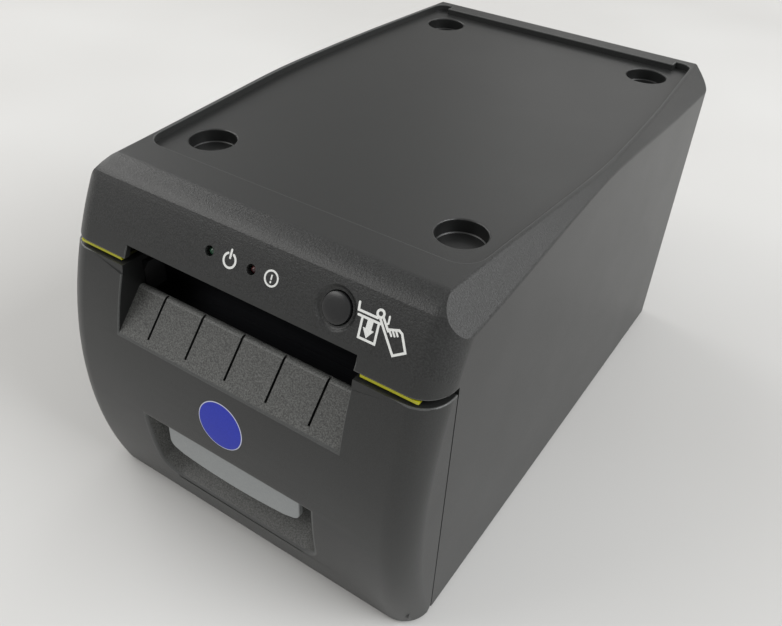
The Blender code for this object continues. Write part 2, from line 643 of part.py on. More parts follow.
def front_door(carrier):
    """The bowed front cover, with its side returns, exit ramp and finger recess."""
    door = case_block("front_door", 0.0, DOOR_BOTTOM, CASE_TOP, BACK_Y)
    hollow = case_block("door_hollow", WALL, DOOR_BOTTOM + WALL, CASE_TOP + OVERRUN, BACK_Y)
    cut(hollow, box("door_top_wall", (-CASE_WIDTH, FRONT_Y - OVERRUN, DOOR_TOP - WALL),
                    (CASE_WIDTH, BACK_Y + OVERRUN, CASE_TOP + OVERRUN * 2)))
    ramp_under = RAMP_WALL / math.sin(RAMP_ANGLE)
    jambs = prism("ramp_walls", [
        (RAMP_FOOT_Y + WALL / 2, RAMP_FOOT_Z - ramp_under - WALL), (RAMP_BACK_Y, CREST_Z - ramp_under),
        (RAMP_BACK_Y, DOOR_TOP - WALL / 2), (front_y(DOOR_TOP, WALL / 2), DOOR_TOP - WALL / 2),
        (front_y(CREST_Z, WALL / 2), CREST_Z),
    ], "X", -RAMP_HALF - RAMP_WALL, RAMP_HALF + RAMP_WALL)
    posts = joined("liner_posts", *[
        rod("liner_post", LINER_POST_RADIUS, "Y", place, front_y(place[1], WALL / 2), LINER_FRONT_Y - GAP, 16)
        for place in LINER_POST_PLACES])
    bosses = mirrored(rod("door_hinge_bosses", HINGE_BOSS_RADIUS, "X", (HINGE_Y, HINGE_Z), BOSS_X,
                          INSIDE_HALF - HINGE_PLAY, 16))
    boss_low = LEVER_HALF + SIDE_PLAY
    lever_bosses = mirrored(box(
        "lever_bosses", (boss_low, front_y(LEVER_Z, WALL / 2), LEVER_Z - LEVER_BOSS_HALF),
        (boss_low + LEVER_BOSS_THICK, LEVER_Y + LEVER_BOSS_HALF, LEVER_Z + LEVER_BOSS_HALF)))
    recess_walls = recess_form("recess_walls", WALL)
    boolean(recess_walls, [case_block("recess_trim", WALL / 2, DOOR_BOTTOM, CASE_TOP, BACK_Y)], "INTERSECT")
    cut(door, hollow)
    fuse(door, jambs, recess_walls, posts, bosses, lever_bosses)
    swept = arc_points((HINGE_Y, HINGE_Z), HINGE_SWEEP, 0, -math.pi / 2, CORNER_STEPS)
    beyond = HINGE_Y + HINGE_SWEEP * 2
    swept += [(HINGE_Y, -HINGE_SWEEP), (beyond, -HINGE_SWEEP), (beyond, HINGE_Z)]
    slot_half = LEVER_HALF + LEVER_SLOT_PLAY
    seat = rod("badge_seat", BADGE_RADIUS + GAP, "Y", (0, ARC_Z), depth_y(-OVERRUN),
               depth_y(BADGE_SINK + BADGE_THICK + GAP), 32)
    cut(door,
        box("above_door", (-CASE_WIDTH, FRONT_Y - OVERRUN, DOOR_TOP),
            (CASE_WIDTH, BACK_Y + OVERRUN, CASE_TOP + OVERRUN)),
        box("behind_door", (-CASE_WIDTH, DOOR_BACK_Y, -OVERRUN),
            (CASE_WIDTH, BACK_Y + OVERRUN, CASE_TOP + OVERRUN)),
        box("under_door", (-INSIDE_HALF, HINGE_Y - WALL, -OVERRUN),
            (INSIDE_HALF, DOOR_BACK_Y + OVERRUN, DOOR_BOTTOM + WALL)),
        mirrored(prism("swept_corners", swept, "X", BOSS_X + OVERRUN, CASE_WIDTH)),
        ramp_cutter(),
        ramp_grooves(),
        recess_form("finger_recess", 0.0),
        box("lever_slot", (-slot_half, front_y(RECESS_HIGH, WALL), RECESS_HIGH - WALL),
            (slot_half, front_y(RECESS_HIGH, WALL) + LEVER_SLOT_DEPTH, LEVER_Z + LEVER_BOSS_HALF)),
        mirrored(rod("lever_bores", LEVER_PIN_RADIUS + GAP, "X", (LEVER_Y, LEVER_Z),
                     LEVER_HALF - OVERRUN, boss_low + LEVER_BOSS_THICK - WALL / 2, 12)),
        mirrored(rod("hinge_bores", HINGE_PIN_RADIUS + HINGE_PLAY, "X", (HINGE_Y, HINGE_Z),
                     BOSS_X - OVERRUN, INSIDE_HALF - WALL / 2, 12)),
        joined("liner_post_bores", *[
            rod("liner_post_bore", LINER_SCREW_RADIUS + GAP, "Y", place,
                LINER_FRONT_Y - LINER_SCREW_BITE - WALL, LINER_FRONT_Y + OVERRUN, 10)
            for place in LINER_POST_PLACES]),
        tilt(seat, -BADGE_TILT, CONTROL_PIVOT))
    keep(door, CASE_PLASTIC, carrier)
    badge = rod("badge", BADGE_RADIUS, "Y", (0, ARC_Z),
                depth_y(BADGE_SINK), depth_y(BADGE_SINK + BADGE_THICK), 32)
    keep(tilt(badge, -BADGE_TILT, CONTROL_PIVOT), BADGE_BLUE, carrier)


# Liner inside the door, whose cheeks carry the platen and the latch rod
CHEEK_LOW = 0.0420
CHEEK_THICK = 0.0024
LINER_LOW_RISE = 0.010
LINER_HIGH_RISE = 0.074
CHEEK_BACK_INSET = 0.03535
CHEEK_TOP_RISE = 0.088
CHEEK_NECK_RISE = 0.0745
CHEEK_HEAD_INSET = 0.0158
CHEEK_FRONT_RISES = (0.012, 0.024, 0.036, 0.048, 0.058)
CHEEK_HIGH = CHEEK_LOW + CHEEK_THICK
PLATEN_RISE = 0.082
PLATEN_INSET = 0.03085
PLATEN_RADIUS = 0.0055
SHAFT_RADIUS = 0.0025
BUSH_RADIUS = 0.0041
BUSH_THICK = 0.0024
PLATEN_Y = FRONT_Y + PLATEN_INSET
PLATEN_Z = FOOT_HEIGHT + PLATEN_RISE
RUBBER_HALF = PAPER_WIDTH / 2 + SIDE_PLAY / 2
LATCH_RISE = 0.060
LATCH_INSET = 0.01685
LATCH_Y = FRONT_Y + LATCH_INSET
LATCH_Z = FOOT_HEIGHT + LATCH_RISE
LATCH_ROD_RADIUS = 0.0016
LATCH_ROD_HALF = 0.0496
LATCH_COLLAR_RADIUS = 0.0031
LATCH_SPRING_WIRE = 0.0004
LATCH_SPRING_RADIUS = 0.0026
LATCH_SPRING_TURNS = 5
LATCH_SPRING_LOW = 0.0120
LATCH_SPRING_LENGTH = 0.0085
LINER_LOW = FOOT_HEIGHT + LINER_LOW_RISE
LINER_HIGH = FOOT_HEIGHT + LINER_HIGH_RISE


def door_liner(carrier):
    """Inner panel of the door with a cheek at each side, one moulding."""
    neck_z = FOOT_HEIGHT + CHEEK_NECK_RISE
    head_y = FRONT_Y + CHEEK_HEAD_INSET
    head_z = FOOT_HEIGHT + CHEEK_TOP_RISE
    back_y = FRONT_Y + CHEEK_BACK_INSET
    spring_reach = LATCH_SPRING_RADIUS + LATCH_SPRING_WIRE + SIDE_PLAY / 2
    outline = [(LINER_BACK_Y, LINER_LOW), (LINER_BACK_Y, neck_z),
               (back_y, neck_z + WALL), (back_y, head_z - WALL),
               (back_y - WALL, head_z), (head_y + WALL, head_z), (head_y, head_z - WALL), (head_y, neck_z)]
    outline += [(front_y(FOOT_HEIGHT + rise, WALL + GAP), FOOT_HEIGHT + rise)
                for rise in reversed(CHEEK_FRONT_RISES)]
    liner = prism("door_liner", outline, "X", -CHEEK_HIGH, CHEEK_HIGH)
    cut(liner,
        box("liner_front_space", (-CHEEK_LOW, FRONT_Y, 0), (CHEEK_LOW, LINER_FRONT_Y, CASE_TOP)),
        box("liner_top_space", (-CHEEK_LOW, FRONT_Y, LINER_HIGH), (CHEEK_LOW, 0, CASE_TOP)),
        box("liner_back_space", (-CHEEK_LOW, LINER_BACK_Y, 0), (CHEEK_LOW, 0, CASE_TOP)),
        mirrored(rod("bush_holes", BUSH_RADIUS + GAP, "X", (PLATEN_Y, PLATEN_Z), CHEEK_LOW - WALL,
                     CHEEK_HIGH + WALL, 20)),
        mirrored(rod("latch_holes", LATCH_ROD_RADIUS + GAP, "X", (LATCH_Y, LATCH_Z), CHEEK_LOW - WALL,
                     CHEEK_HIGH + WALL, 16)),
        box("spring_window", (LATCH_SPRING_LOW - SIDE_PLAY, LINER_FRONT_Y - WALL, LATCH_Z - spring_reach),
            (LATCH_SPRING_LOW + LATCH_SPRING_LENGTH + SIDE_PLAY, LINER_BACK_Y + WALL,
             LATCH_Z + spring_reach)),
        joined("liner_screw_holes", *[
            rod("liner_screw_hole", LINER_SCREW_RADIUS + GAP, "Y", place, LINER_FRONT_Y - WALL,
                LINER_BACK_Y + WALL, 12) for place in LINER_POST_PLACES]))
    keep(liner, BLACK_PLASTIC, carrier)
    tip, seat = LINER_FRONT_Y - LINER_SCREW_BITE, LINER_BACK_Y + GAP
    for number, place in enumerate(LINER_POST_PLACES, 1):
        screw = turned(f"liner_screw_{number}", [
            (0, tip), (LINER_SCREW_RADIUS, tip), (LINER_SCREW_RADIUS, seat), (LINER_SCREW_HEAD, seat),
            (LINER_SCREW_HEAD, seat + LINER_HEAD_THICK), (0, seat + LINER_HEAD_THICK)], "Y", place, 12)
        keep(screw, SHEET_STEEL, carrier)


# Gears of the paper feed, in mesh on the left of the mechanism
GEAR_MODULE = 0.0008
GEAR_LOW = 0.0452
GEAR_THICK = 0.003
GEAR_HIGH = GEAR_LOW + GEAR_THICK
PLATEN_TEETH = 20
IDLER_TEETH = 33
PINION_TEETH = 10
ADDENDUM_SHARE = 0.85
DEDENDUM_SHARE = 1.15
TOOTH_ROOT_SHARE = 0.54
TOOTH_TIP_SHARE = 0.18
IDLER_ANGLE = math.radians(-7.35)
MOTOR_ANGLE = math.radians(65)
IDLER_STUD_RADIUS = 0.0016


def pitch_radius(teeth):
    return GEAR_MODULE * teeth / 2


def step_from(place, distance, angle):
    return place[0] + distance * math.cos(angle), place[1] + distance * math.sin(angle)


PLATEN_AXIS = (PLATEN_Y, PLATEN_Z)
IDLER_AXIS = step_from(PLATEN_AXIS, pitch_radius(PLATEN_TEETH) + pitch_radius(IDLER_TEETH), IDLER_ANGLE)
MOTOR_AXIS = step_from(IDLER_AXIS, pitch_radius(IDLER_TEETH) + pitch_radius(PINION_TEETH), MOTOR_ANGLE)


def mating_phase(teeth, towards, other_teeth, other_phase):
    """The phase at which a gear meshes with another that lies towards an angle from it."""
    other_share = (other_phase - towards - math.pi) * other_teeth / (2 * math.pi)
    return towards + (0.5 - other_share) * 2 * math.pi / teeth


def gear(name, teeth, centre, phase, low, high, bore=0.0):
    """A spur gear with straight-sided teeth, as an outline of four corners a tooth."""
    pitch = 2 * math.pi / teeth
    root = pitch_radius(teeth) - GEAR_MODULE * DEDENDUM_SHARE
    tip = pitch_radius(teeth) + GEAR_MODULE * ADDENDUM_SHARE
    outline = []
    for tooth in range(teeth):
        middle = phase + pitch * tooth
        outline.append(step_from(centre, root, middle - pitch * TOOTH_ROOT_SHARE / 2))
        outline.append(step_from(centre, tip, middle - pitch * TOOTH_TIP_SHARE / 2))
        outline.append(step_from(centre, tip, middle + pitch * TOOTH_TIP_SHARE / 2))
        outline.append(step_from(centre, root, middle + pitch * TOOTH_ROOT_SHARE / 2))
    wheel = prism(name, outline, "X", low, high)
    if bore:
        cut(wheel, rod(name + "_bore", bore, "X", centre, low - OVERRUN, high + OVERRUN, 16))
    return wheel


IDLER_PHASE = 0.0
PLATEN_PHASE = mating_phase(PLATEN_TEETH, IDLER_ANGLE, IDLER_TEETH, IDLER_PHASE)
PINION_PHASE = mating_phase(PINION_TEETH, MOTOR_ANGLE + math.pi, IDLER_TEETH, IDLER_PHASE)


def platen(carrier):
    """Rubber-covered feed roller that leaves with the door, its shaft and its gear."""
    rubber = rod("platen_rubber", PLATEN_RADIUS, "X", PLATEN_AXIS, -RUBBER_HALF, RUBBER_HALF, 32)
    cut(rubber, rod("rubber_bore", SHAFT_RADIUS + GAP, "X", PLATEN_AXIS, -CHEEK_HIGH, CHEEK_HIGH, 20))
    keep(rubber, BLACK_RUBBER, carrier)
    shaft = rod("platen_shaft", SHAFT_RADIUS, "X", PLATEN_AXIS,
                -GEAR_HIGH - SIDE_PLAY / 2, CHEEK_HIGH + SIDE_PLAY, 20)
    keep(shaft, GROUND_STEEL, carrier)
    wheel = gear("platen_gear", PLATEN_TEETH, PLATEN_AXIS, PLATEN_PHASE,
                 -GEAR_HIGH, -GEAR_LOW, SHAFT_RADIUS + GAP)
    keep(wheel, GEAR_PLASTIC, carrier)


def platen_bushes(carrier):
    """Bushes in the cheeks, in which the platen shaft turns."""
    for name, low in (("platen_bush_left", -CHEEK_LOW - BUSH_THICK), ("platen_bush_right", CHEEK_LOW)):
        bush = rod(name, BUSH_RADIUS, "X", PLATEN_AXIS, low, low + BUSH_THICK, 20)
        cut(bush, rod(name + "_bore", SHAFT_RADIUS + GAP, "X", PLATEN_AXIS, -CASE_HALF, CASE_HALF, 20))
        keep(bush, GEAR_PLASTIC, carrier)


# Fixed cutter blade on the door, between the cheeks
BLADE_THICK = 0.001
FIXED_BLADE_INSET = 0.02355
FIXED_BLADE_LOW_RISE = 0.077
FIXED_BLADE_HIGH_RISE = 0.0885
FIXED_BLADE_Y = FRONT_Y + FIXED_BLADE_INSET


def fixed_blade(carrier):
    """Angle of hardened steel whose upper edge is the fixed blade, screwed between the cheeks."""
    low = FOOT_HEIGHT + FIXED_BLADE_LOW_RISE
    high = FOOT_HEIGHT + FIXED_BLADE_HIGH_RISE
    flange_y = FRONT_Y + CHEEK_HEAD_INSET
    back = FIXED_BLADE_Y + BLADE_THICK
    outline = [(FIXED_BLADE_Y, high), (back, high), (back, low),
               (flange_y, low), (flange_y, low + BLADE_THICK),
               (FIXED_BLADE_Y, low + BLADE_THICK)]
    keep(prism("fixed_blade", outline, "X", -CHEEK_LOW + GAP, CHEEK_LOW - GAP), GROUND_STEEL,
         carrier)


# Latch fingers, which rest over pins on the mechanism frame
FINGER_LOW_X = 0.0460
FINGER_THICK = 0.0020
LATCH_PIN_RISE = 0.058
LATCH_PIN_INSET = 0.03935
LATCH_PIN_RADIUS = 0.0015
FINGER_HEIGHT = 0.0035
FINGER_END = 0.0025
FINGER_CHIN = 0.0012
TRIP_HALF = 0.0035
TRIP_REACH = 0.0096
TRIP_DROP = 0.0066
TRIP_RISE = 0.0030
LATCH_PIN_Y = FRONT_Y + LATCH_PIN_INSET
LATCH_PIN_Z = FOOT_HEIGHT + LATCH_PIN_RISE


def latch_bar(carrier):
    """Steel rod with a finger at each end and a trip in the middle, which the lever pushes."""
    bar = rod("latch_bar", LATCH_ROD_RADIUS, "X", (LATCH_Y, LATCH_Z), -LATCH_ROD_HALF, LATCH_ROD_HALF, 16)
    low = LATCH_PIN_Z + LATCH_PIN_RADIUS + GAP
    end = LATCH_PIN_Y + FINGER_END
    finger = [(LATCH_Y, LATCH_Z - LATCH_COLLAR_RADIUS),
              (LATCH_Y + LATCH_COLLAR_RADIUS, LATCH_Z - FINGER_CHIN),
              (end, low), (end, low + FINGER_HEIGHT), (LATCH_Y, low + FINGER_HEIGHT)]
    finger += arc_points((LATCH_Y, LATCH_Z), LATCH_COLLAR_RADIUS, math.radians(108), math.radians(252), 6)
    trip = [(LATCH_Y, LATCH_Z - LATCH_COLLAR_RADIUS), (LATCH_Y, LATCH_Z + LATCH_ROD_RADIUS),
            (LATCH_Y - TRIP_REACH, LATCH_Z - TRIP_RISE), (LATCH_Y - TRIP_REACH, LATCH_Z - TRIP_DROP)]
    fuse(bar, mirrored(prism("latch_fingers", finger, "X", FINGER_LOW_X, FINGER_LOW_X + FINGER_THICK)),
         prism("latch_trip", trip, "X", -TRIP_HALF, TRIP_HALF))
    keep(bar, SHEET_STEEL, carrier)


def coil(name, radius, wire, turns, axis, across, low, high, points_a_turn=8):
    """A coil spring as one tube along a helix; prints the gap between its turns."""
    steps = turns * points_a_turn
    rise = (high - low - wire * 2) / steps
    curve = bpy.data.curves.new(name, "CURVE")
    curve.dimensions = "3D"
    curve.bevel_depth = wire
    curve.bevel_resolution = 0
    curve.use_fill_caps = True
    spline = curve.splines.new("POLY")
    spline.points.add(steps)
    for i, point in enumerate(spline.points):
        angle = 2 * math.pi * i / points_a_turn
        point.co = (radius * math.cos(angle), radius * math.sin(angle), wire + rise * i, 1)
    drawn = bpy.data.objects.new(name, curve)
    bpy.context.scene.collection.objects.link(drawn)
    mesh = bpy.data.meshes.new_from_object(drawn.evaluated_get(bpy.context.evaluated_depsgraph_get()))
    bpy.data.objects.remove(drawn)
    bm = bmesh.new()
    bm.from_mesh(mesh)
    bpy.data.meshes.remove(mesh)
    bmesh.ops.remove_doubles(bm, verts=bm.verts, dist=MERGE)
    bmesh.ops.transform(bm, matrix=AXES[axis] @ Matrix.Translation((*across, low)), verts=bm.verts)
    print(name, "gap between turns in shares of the wire:", round(rise * points_a_turn / (wire * 2) - 1, 2))
    return make_object(name, bm)


def release_lever(carrier):
    """Grey plate behind the finger recess, with a knuckle at its top and an arm that trips the latch."""
    low = FOOT_HEIGHT + LEVER_LOW_RISE
    plate_top = LEVER_Z
    ends = arc_points((LEVER_HALF - LEVER_CORNER, low + LEVER_END_LIFT + LEVER_CORNER), LEVER_CORNER,
                      0, -math.radians(80), 4)
    half = [(LEVER_HALF, plate_top)] + ends
    bow = [(LEVER_HALF * share, low + LEVER_END_LIFT * share ** 2) for share in LEVER_BOW_SHARES]
    outline = half + bow + [(-x, z) for x, z in reversed(half + bow[:-1])]
    plate = prism("release_lever", outline, "Y", LEVER_FACE_Y, LEVER_FACE_Y + LEVER_THICK)
    arm_low = LEVER_Y + LEVER_KNUCKLE - LEVER_THICK
    arm = box("lever_arm", (-LEVER_ARM_HALF, arm_low, LEVER_Z), (LEVER_ARM_HALF, arm_low + LEVER_THICK,
                                                                 FOOT_HEIGHT + LEVER_ARM_RISE))
    knuckle = rod("lever_knuckle", LEVER_KNUCKLE, "X", (LEVER_Y, LEVER_Z), -LEVER_HALF, LEVER_HALF, 16)
    pin_half = LEVER_HALF + SIDE_PLAY + LEVER_BOSS_THICK - WALL
    pin = rod("lever_pin", LEVER_PIN_RADIUS, "X", (LEVER_Y, LEVER_Z), -pin_half, pin_half, 12)
    fuse(plate, arm, knuckle, pin)
    keep(plate, LEVER_PLASTIC, carrier)


def cut_now(target, tool):
    """A difference that is carried out at once, for a piece that is turned afterwards."""
    cut(target, tool)
    collection = bpy.context.scene.collection
    collection.objects.link(target)
    mesh = bpy.data.meshes.new_from_object(target.evaluated_get(bpy.context.evaluated_depsgraph_get()))
    mesh.name = target.name
    collection.objects.unlink(target)
    target.modifiers.clear()
    target.data = mesh
    return target


def button_and_lights(button_carrier):
    """Feed button, the two status lights and their board, all square to the fascia."""
    ear_x = BUTTON_RADIUS + BUTTON_EAR
    profile = [(0, depth_y(BUTTON_PROUD_DEPTH)), (BUTTON_RADIUS - BUTTON_EDGE, depth_y(BUTTON_PROUD_DEPTH)),
               (BUTTON_RADIUS, depth_y(BUTTON_PROUD_DEPTH + BUTTON_EDGE)),
               (BUTTON_RADIUS, depth_y(WALL + GAP + BUTTON_FLANGE)), (0, depth_y(WALL + GAP + BUTTON_FLANGE))]
    ears = box("button_ears", (BUTTON_X - ear_x, depth_y(WALL + GAP), ARC_Z - BUTTON_EAR),
               (BUTTON_X + ear_x, depth_y(WALL + GAP + BUTTON_FLANGE), ARC_Z + BUTTON_EAR))
    keep(fuse(on_fascia(turned("feed_button", profile, "Y", (BUTTON_X, ARC_Z))), on_fascia(ears)),
         SATIN_BLACK, button_carrier)
    for name, x, finish in (("green_light", GREEN_X, GREEN_LENS), ("red_light", RED_X, RED_LENS)):
        base = PANEL_DEPTH - GAP
        lens = [(0, depth_y(LED_DEPTH)),
                (LED_RADIUS * LENS_WIDTH_SHARE, depth_y(LED_DEPTH + LED_RADIUS * LENS_RISE_SHARE)),
                (LED_RADIUS, depth_y(LED_DEPTH + LED_RADIUS)), (LED_RADIUS, depth_y(base - LED_FLANGE)),
                (LED_RADIUS + LED_FLANGE, depth_y(base - LED_FLANGE)),
                (LED_RADIUS + LED_FLANGE, depth_y(base)),
                (0, depth_y(base))]
        keep(on_fascia(turned(name, lens, "Y", (x, ARC_Z), 16)), finish)
    board = box("panel_board", (PANEL_LOW_X, depth_y(PANEL_DEPTH), ARC_Z - PANEL_HALF_HEIGHT),
                (PANEL_HIGH_X, depth_y(PANEL_DEPTH + PANEL_THICK), ARC_Z + PANEL_HALF_HEIGHT))
    holes = joined("panel_holes", *[
        rod("panel_hole", SCREW_SHANK_RADIUS + GAP, "Y", (x, ARC_Z), depth_y(PANEL_DEPTH - OVERRUN),
            depth_y(PANEL_DEPTH + OVERRUN), 10) for x in POST_XS])
    keep(on_fascia(cut_now(board, holes)), BOARD_GREEN)
    top = WALL + GAP + BUTTON_FLANGE + BUTTON_TRAVEL + GAP
    switch = box("feed_switch", (BUTTON_X - SWITCH_HALF, depth_y(top), ARC_Z - SWITCH_HALF),
                 (BUTTON_X + SWITCH_HALF, depth_y(PANEL_DEPTH - GAP), ARC_Z + SWITCH_HALF))
    keep(on_fascia(switch), SATIN_BLACK)
    head = PANEL_DEPTH + PANEL_THICK + GAP
    for number, x in enumerate(POST_XS, 1):
        screw = turned(f"panel_screw_{number}", [
            (0, depth_y(PANEL_DEPTH - SCREW_BITE + SCREW_HEAD_THICK)),
            (SCREW_SHANK_RADIUS, depth_y(PANEL_DEPTH - SCREW_BITE + SCREW_HEAD_THICK)),
            (SCREW_SHANK_RADIUS, depth_y(head)), (SCREW_HEAD_RADIUS, depth_y(head)),
            (SCREW_HEAD_RADIUS, depth_y(head + SCREW_HEAD_THICK)), (0, depth_y(head + SCREW_HEAD_THICK))],
            "Y", (x, ARC_Z), 10)
        keep(on_fascia(screw), SHEET_STEEL)


# Yellow light guide: arms in the seam at both ends of the fascia and a bar behind the slot's lip
GUIDE_OUTER = 0.0610
GUIDE_INNER = 0.0422
GUIDE_THICK = 0.0006
GUIDE_SETBACK = 0.0004
GUIDE_BAR_RISE = 0.0974
GUIDE_BAR_HEIGHT = 0.0015
GUIDE_BAR_INSET = 0.01465
GUIDE_BAR_DEPTH = 0.0014


def light_guide():
    """Clear yellow bar that glows in the seam under the fascia."""
    top = FASCIA_Z - GAP
    front = front_y(FASCIA_Z) + GUIDE_SETBACK
    back = FRONT_Y + GUIDE_BAR_INSET + GUIDE_BAR_DEPTH
    bar_low = FOOT_HEIGHT + GUIDE_BAR_RISE
    arm_half = [(GUIDE_INNER, back), (GUIDE_INNER, front), (CASE_HALF - CORNER_RADIUS, front),
                (GUIDE_OUTER, front + GUIDE_SETBACK * 3), (GUIDE_OUTER, back)]
    guide = box("light_guide", (-GUIDE_INNER - WALL, back - GUIDE_BAR_DEPTH, bar_low),
                (GUIDE_INNER + WALL, back, bar_low + GUIDE_BAR_HEIGHT))
    riser = box("guide_risers", (GUIDE_INNER + GAP, back - GUIDE_BAR_DEPTH + GAP, top - GUIDE_THICK / 2),
                (GUIDE_INNER + WALL - GAP, back - GAP, bar_low + GUIDE_BAR_HEIGHT / 2))
    fuse(guide, mirrored(prism("guide_arms", arm_half, "Z", top - GUIDE_THICK, top)), mirrored(riser))
    keep(guide, GUIDE_YELLOW)


# Base: floor plate, hinge ears, feet and screws
BASE_PLAY = 0.0003
BASE_FRONT_INSET = 0.02235
EAR_TAIL = 0.005
FOOT_X = 0.048
FOOT_FRONT = 0.0323
FOOT_BACK = 0.0143
FOOT_RADIUS = 0.007
FOOT_STEM_RADIUS = 0.002
FOOT_PLACES = [(side * FOOT_X, y) for side in (-1, 1) for y in (FRONT_Y + FOOT_FRONT, BACK_Y - FOOT_BACK)]
BASE_FRONT_Y = FRONT_Y + BASE_FRONT_INSET


def base_plate():
    """Floor of the printer, with an ear at each front corner for the door's hinge pins."""
    plate = box("base_plate", (-INSIDE_HALF + BASE_PLAY, BASE_FRONT_Y, FOOT_HEIGHT),
                (INSIDE_HALF - BASE_PLAY, BACK_Y - WALL - REAR_CORNER_RADIUS, BASE_TOP))
    ear = [(BASE_FRONT_Y + EAR_TAIL, FOOT_HEIGHT + WALL / 2), (BASE_FRONT_Y + EAR_TAIL, HINGE_Z + EAR_TOP),
           (HINGE_Y, HINGE_Z + EAR_RADIUS)]
    ear += arc_points((HINGE_Y, HINGE_Z), EAR_RADIUS, math.radians(108), math.radians(270), 8)
    ear += [(BASE_FRONT_Y - EAR_TAIL, HINGE_Z - EAR_RADIUS),
            (BASE_FRONT_Y - SIDE_PLAY, FOOT_HEIGHT + WALL / 2)]
    pins = mirrored(rod("hinge_pins", HINGE_PIN_RADIUS, "X", (HINGE_Y, HINGE_Z),
                        EAR_LOW + WALL, INSIDE_HALF - WALL, 12))
    standoffs = joined("board_standoffs", *[rod("standoff", STANDOFF_RADIUS, "Z", place, BASE_TOP - WALL / 2,
                                                BOARD_LOW - GAP, 12) for place in STANDOFF_PLACES])
    fuse(plate, mirrored(prism("hinge_ears", ear, "X", EAR_LOW, EAR_HIGH)), pins, standoffs)
    cut(plate,
        joined("foot_holes", *[rod("foot_hole", FOOT_STEM_RADIUS + GAP, "Z", place, FOOT_HEIGHT - OVERRUN,
                                   BASE_TOP + OVERRUN, 12) for place in FOOT_PLACES]),
        joined("screw_holes", *[rod("screw_hole", BASE_SCREW_RADIUS + GAP, "Z", place, FOOT_HEIGHT - OVERRUN,
                                    BASE_TOP + OVERRUN, 12) for place in BASE_SCREW_PLACES]),
        joined("screw_sinks", *[rod("screw_sink", BASE_HEAD_RADIUS + GAP, "Z", place, FOOT_HEIGHT - OVERRUN,
                                    FOOT_HEIGHT + BASE_HEAD_THICK, 16) for place in BASE_SCREW_PLACES]))
    keep(plate, BLACK_PLASTIC)
    for number, place in enumerate(FOOT_PLACES, 1):
        foot = [(0, 0), (FOOT_RADIUS - GAP, 0), (FOOT_RADIUS, GAP), (FOOT_RADIUS, FOOT_HEIGHT - GAP),
                (FOOT_STEM_RADIUS, FOOT_HEIGHT - GAP), (FOOT_STEM_RADIUS, BASE_TOP), (0, BASE_TOP)]
        keep(turned(f"rubber_foot_{number}", foot, "Z", place, 20), BLACK_RUBBER)
    for number, place in enumerate(BASE_SCREW_PLACES, 1):
        screw = [(0, FOOT_HEIGHT), (BASE_HEAD_RADIUS, FOOT_HEIGHT),
                 (BASE_HEAD_RADIUS, FOOT_HEIGHT + BASE_HEAD_THICK - GAP),
                 (BASE_SCREW_RADIUS, FOOT_HEIGHT + BASE_HEAD_THICK - GAP),
                 (BASE_SCREW_RADIUS, BASE_TOP + CASE_BOSS_HEIGHT / 2), (0, BASE_TOP + CASE_BOSS_HEIGHT / 2)]
        keep(turned(f"base_screw_{number}", screw, "Z", place, 12), SHEET_STEEL)


# Paper bay behind the door
BAY_WALL = 0.0018
BAY_HALF = 0.0415
BAY_ROLL_PLAY = 0.002
BAY_CENTRE_INSET = 0.06535
BAY_FRONT_INSET = 0.02435
BAY_CHEEK_RISE = 0.066
BAY_REAR_RISE = 0.084
BAY_CHEEK_INSET = 0.040
BAY_TOP_INSET = 0.052
BAY_END_ANGLE = math.radians(62)
BAY_RADIUS = ROLL_RADIUS + BAY_ROLL_PLAY
BAY_Y = FRONT_Y + BAY_CENTRE_INSET
BAY_Z = BASE_TOP + GAP + BAY_WALL + BAY_RADIUS


def paper_bay():
    """Drop-in bucket: a curved back and bottom between two side walls, open to the front and the top."""
    front = FRONT_Y + BAY_FRONT_INSET
    outer = BAY_RADIUS + BAY_WALL
    low = BAY_Z - outer
    back = arc_points((BAY_Y, BAY_Z), outer, -math.pi / 2, BAY_END_ANGLE, 14)
    outline = [(front, low)] + back + [
        (FRONT_Y + BAY_TOP_INSET, FOOT_HEIGHT + BAY_REAR_RISE - WALL),
        (FRONT_Y + BAY_CHEEK_INSET, FOOT_HEIGHT + BAY_CHEEK_RISE + WALL),
        (front, FOOT_HEIGHT + BAY_CHEEK_RISE)]
    bay = prism("paper_bay", outline, "X", -BAY_HALF - BAY_WALL, BAY_HALF + BAY_WALL)
    hollow = arc_points((BAY_Y, BAY_Z), BAY_RADIUS, -math.pi / 2, BAY_END_ANGLE, 14)
    hollow = [(front - OVERRUN, low + BAY_WALL)] + hollow
    end = hollow[-1]
    hollow += [(end[0] + OVERRUN * math.cos(BAY_END_ANGLE), end[1] + OVERRUN), (end[0] - OVERRUN, CASE_TOP),
               (front - OVERRUN, CASE_TOP)]
    cut(bay, prism("bay_hollow", hollow, "X", -BAY_HALF, BAY_HALF))
    keep(bay, BLACK_PLASTIC)


# Mechanism frame of bent sheet steel, standing on the base astride the bay
FRAME_LOW_X = 0.0436
FRAME_SHEET = 0.0012
FRAME_FRONT_INSET = 0.03635
FRAME_HEAD_INSET = 0.02435
FRAME_BACK_INSET = 0.07435
FRAME_HEAD_RISE = 0.0955
FRAME_TOP_RISE = 0.106
BRIDGE_THICK = 0.001
BRIDGE_FRONT_INSET = 0.0425
BRIDGE_BACK_INSET = 0.0510
BRIDGE_NOSE_INSET = 0.02785
BRIDGE_NOSE_HALF = 0.034
FRAME_FOOT_WIDTH = 0.008
MOTOR_RADIUS = 0.010
MOTOR_LENGTH = 0.020
MOTOR_FLANGE_RADIUS = 0.0112
MOTOR_FLANGE_THICK = 0.001
MOTOR_SHAFT_RADIUS = 0.0012
FRAME_HIGH_X = FRAME_LOW_X + FRAME_SHEET
BRIDGE_LOW = FOOT_HEIGHT + FRAME_TOP_RISE - BRIDGE_THICK
CUTTER_MOTOR_INSET = 0.03095
CUTTER_MOTOR_RISE = 0.1015
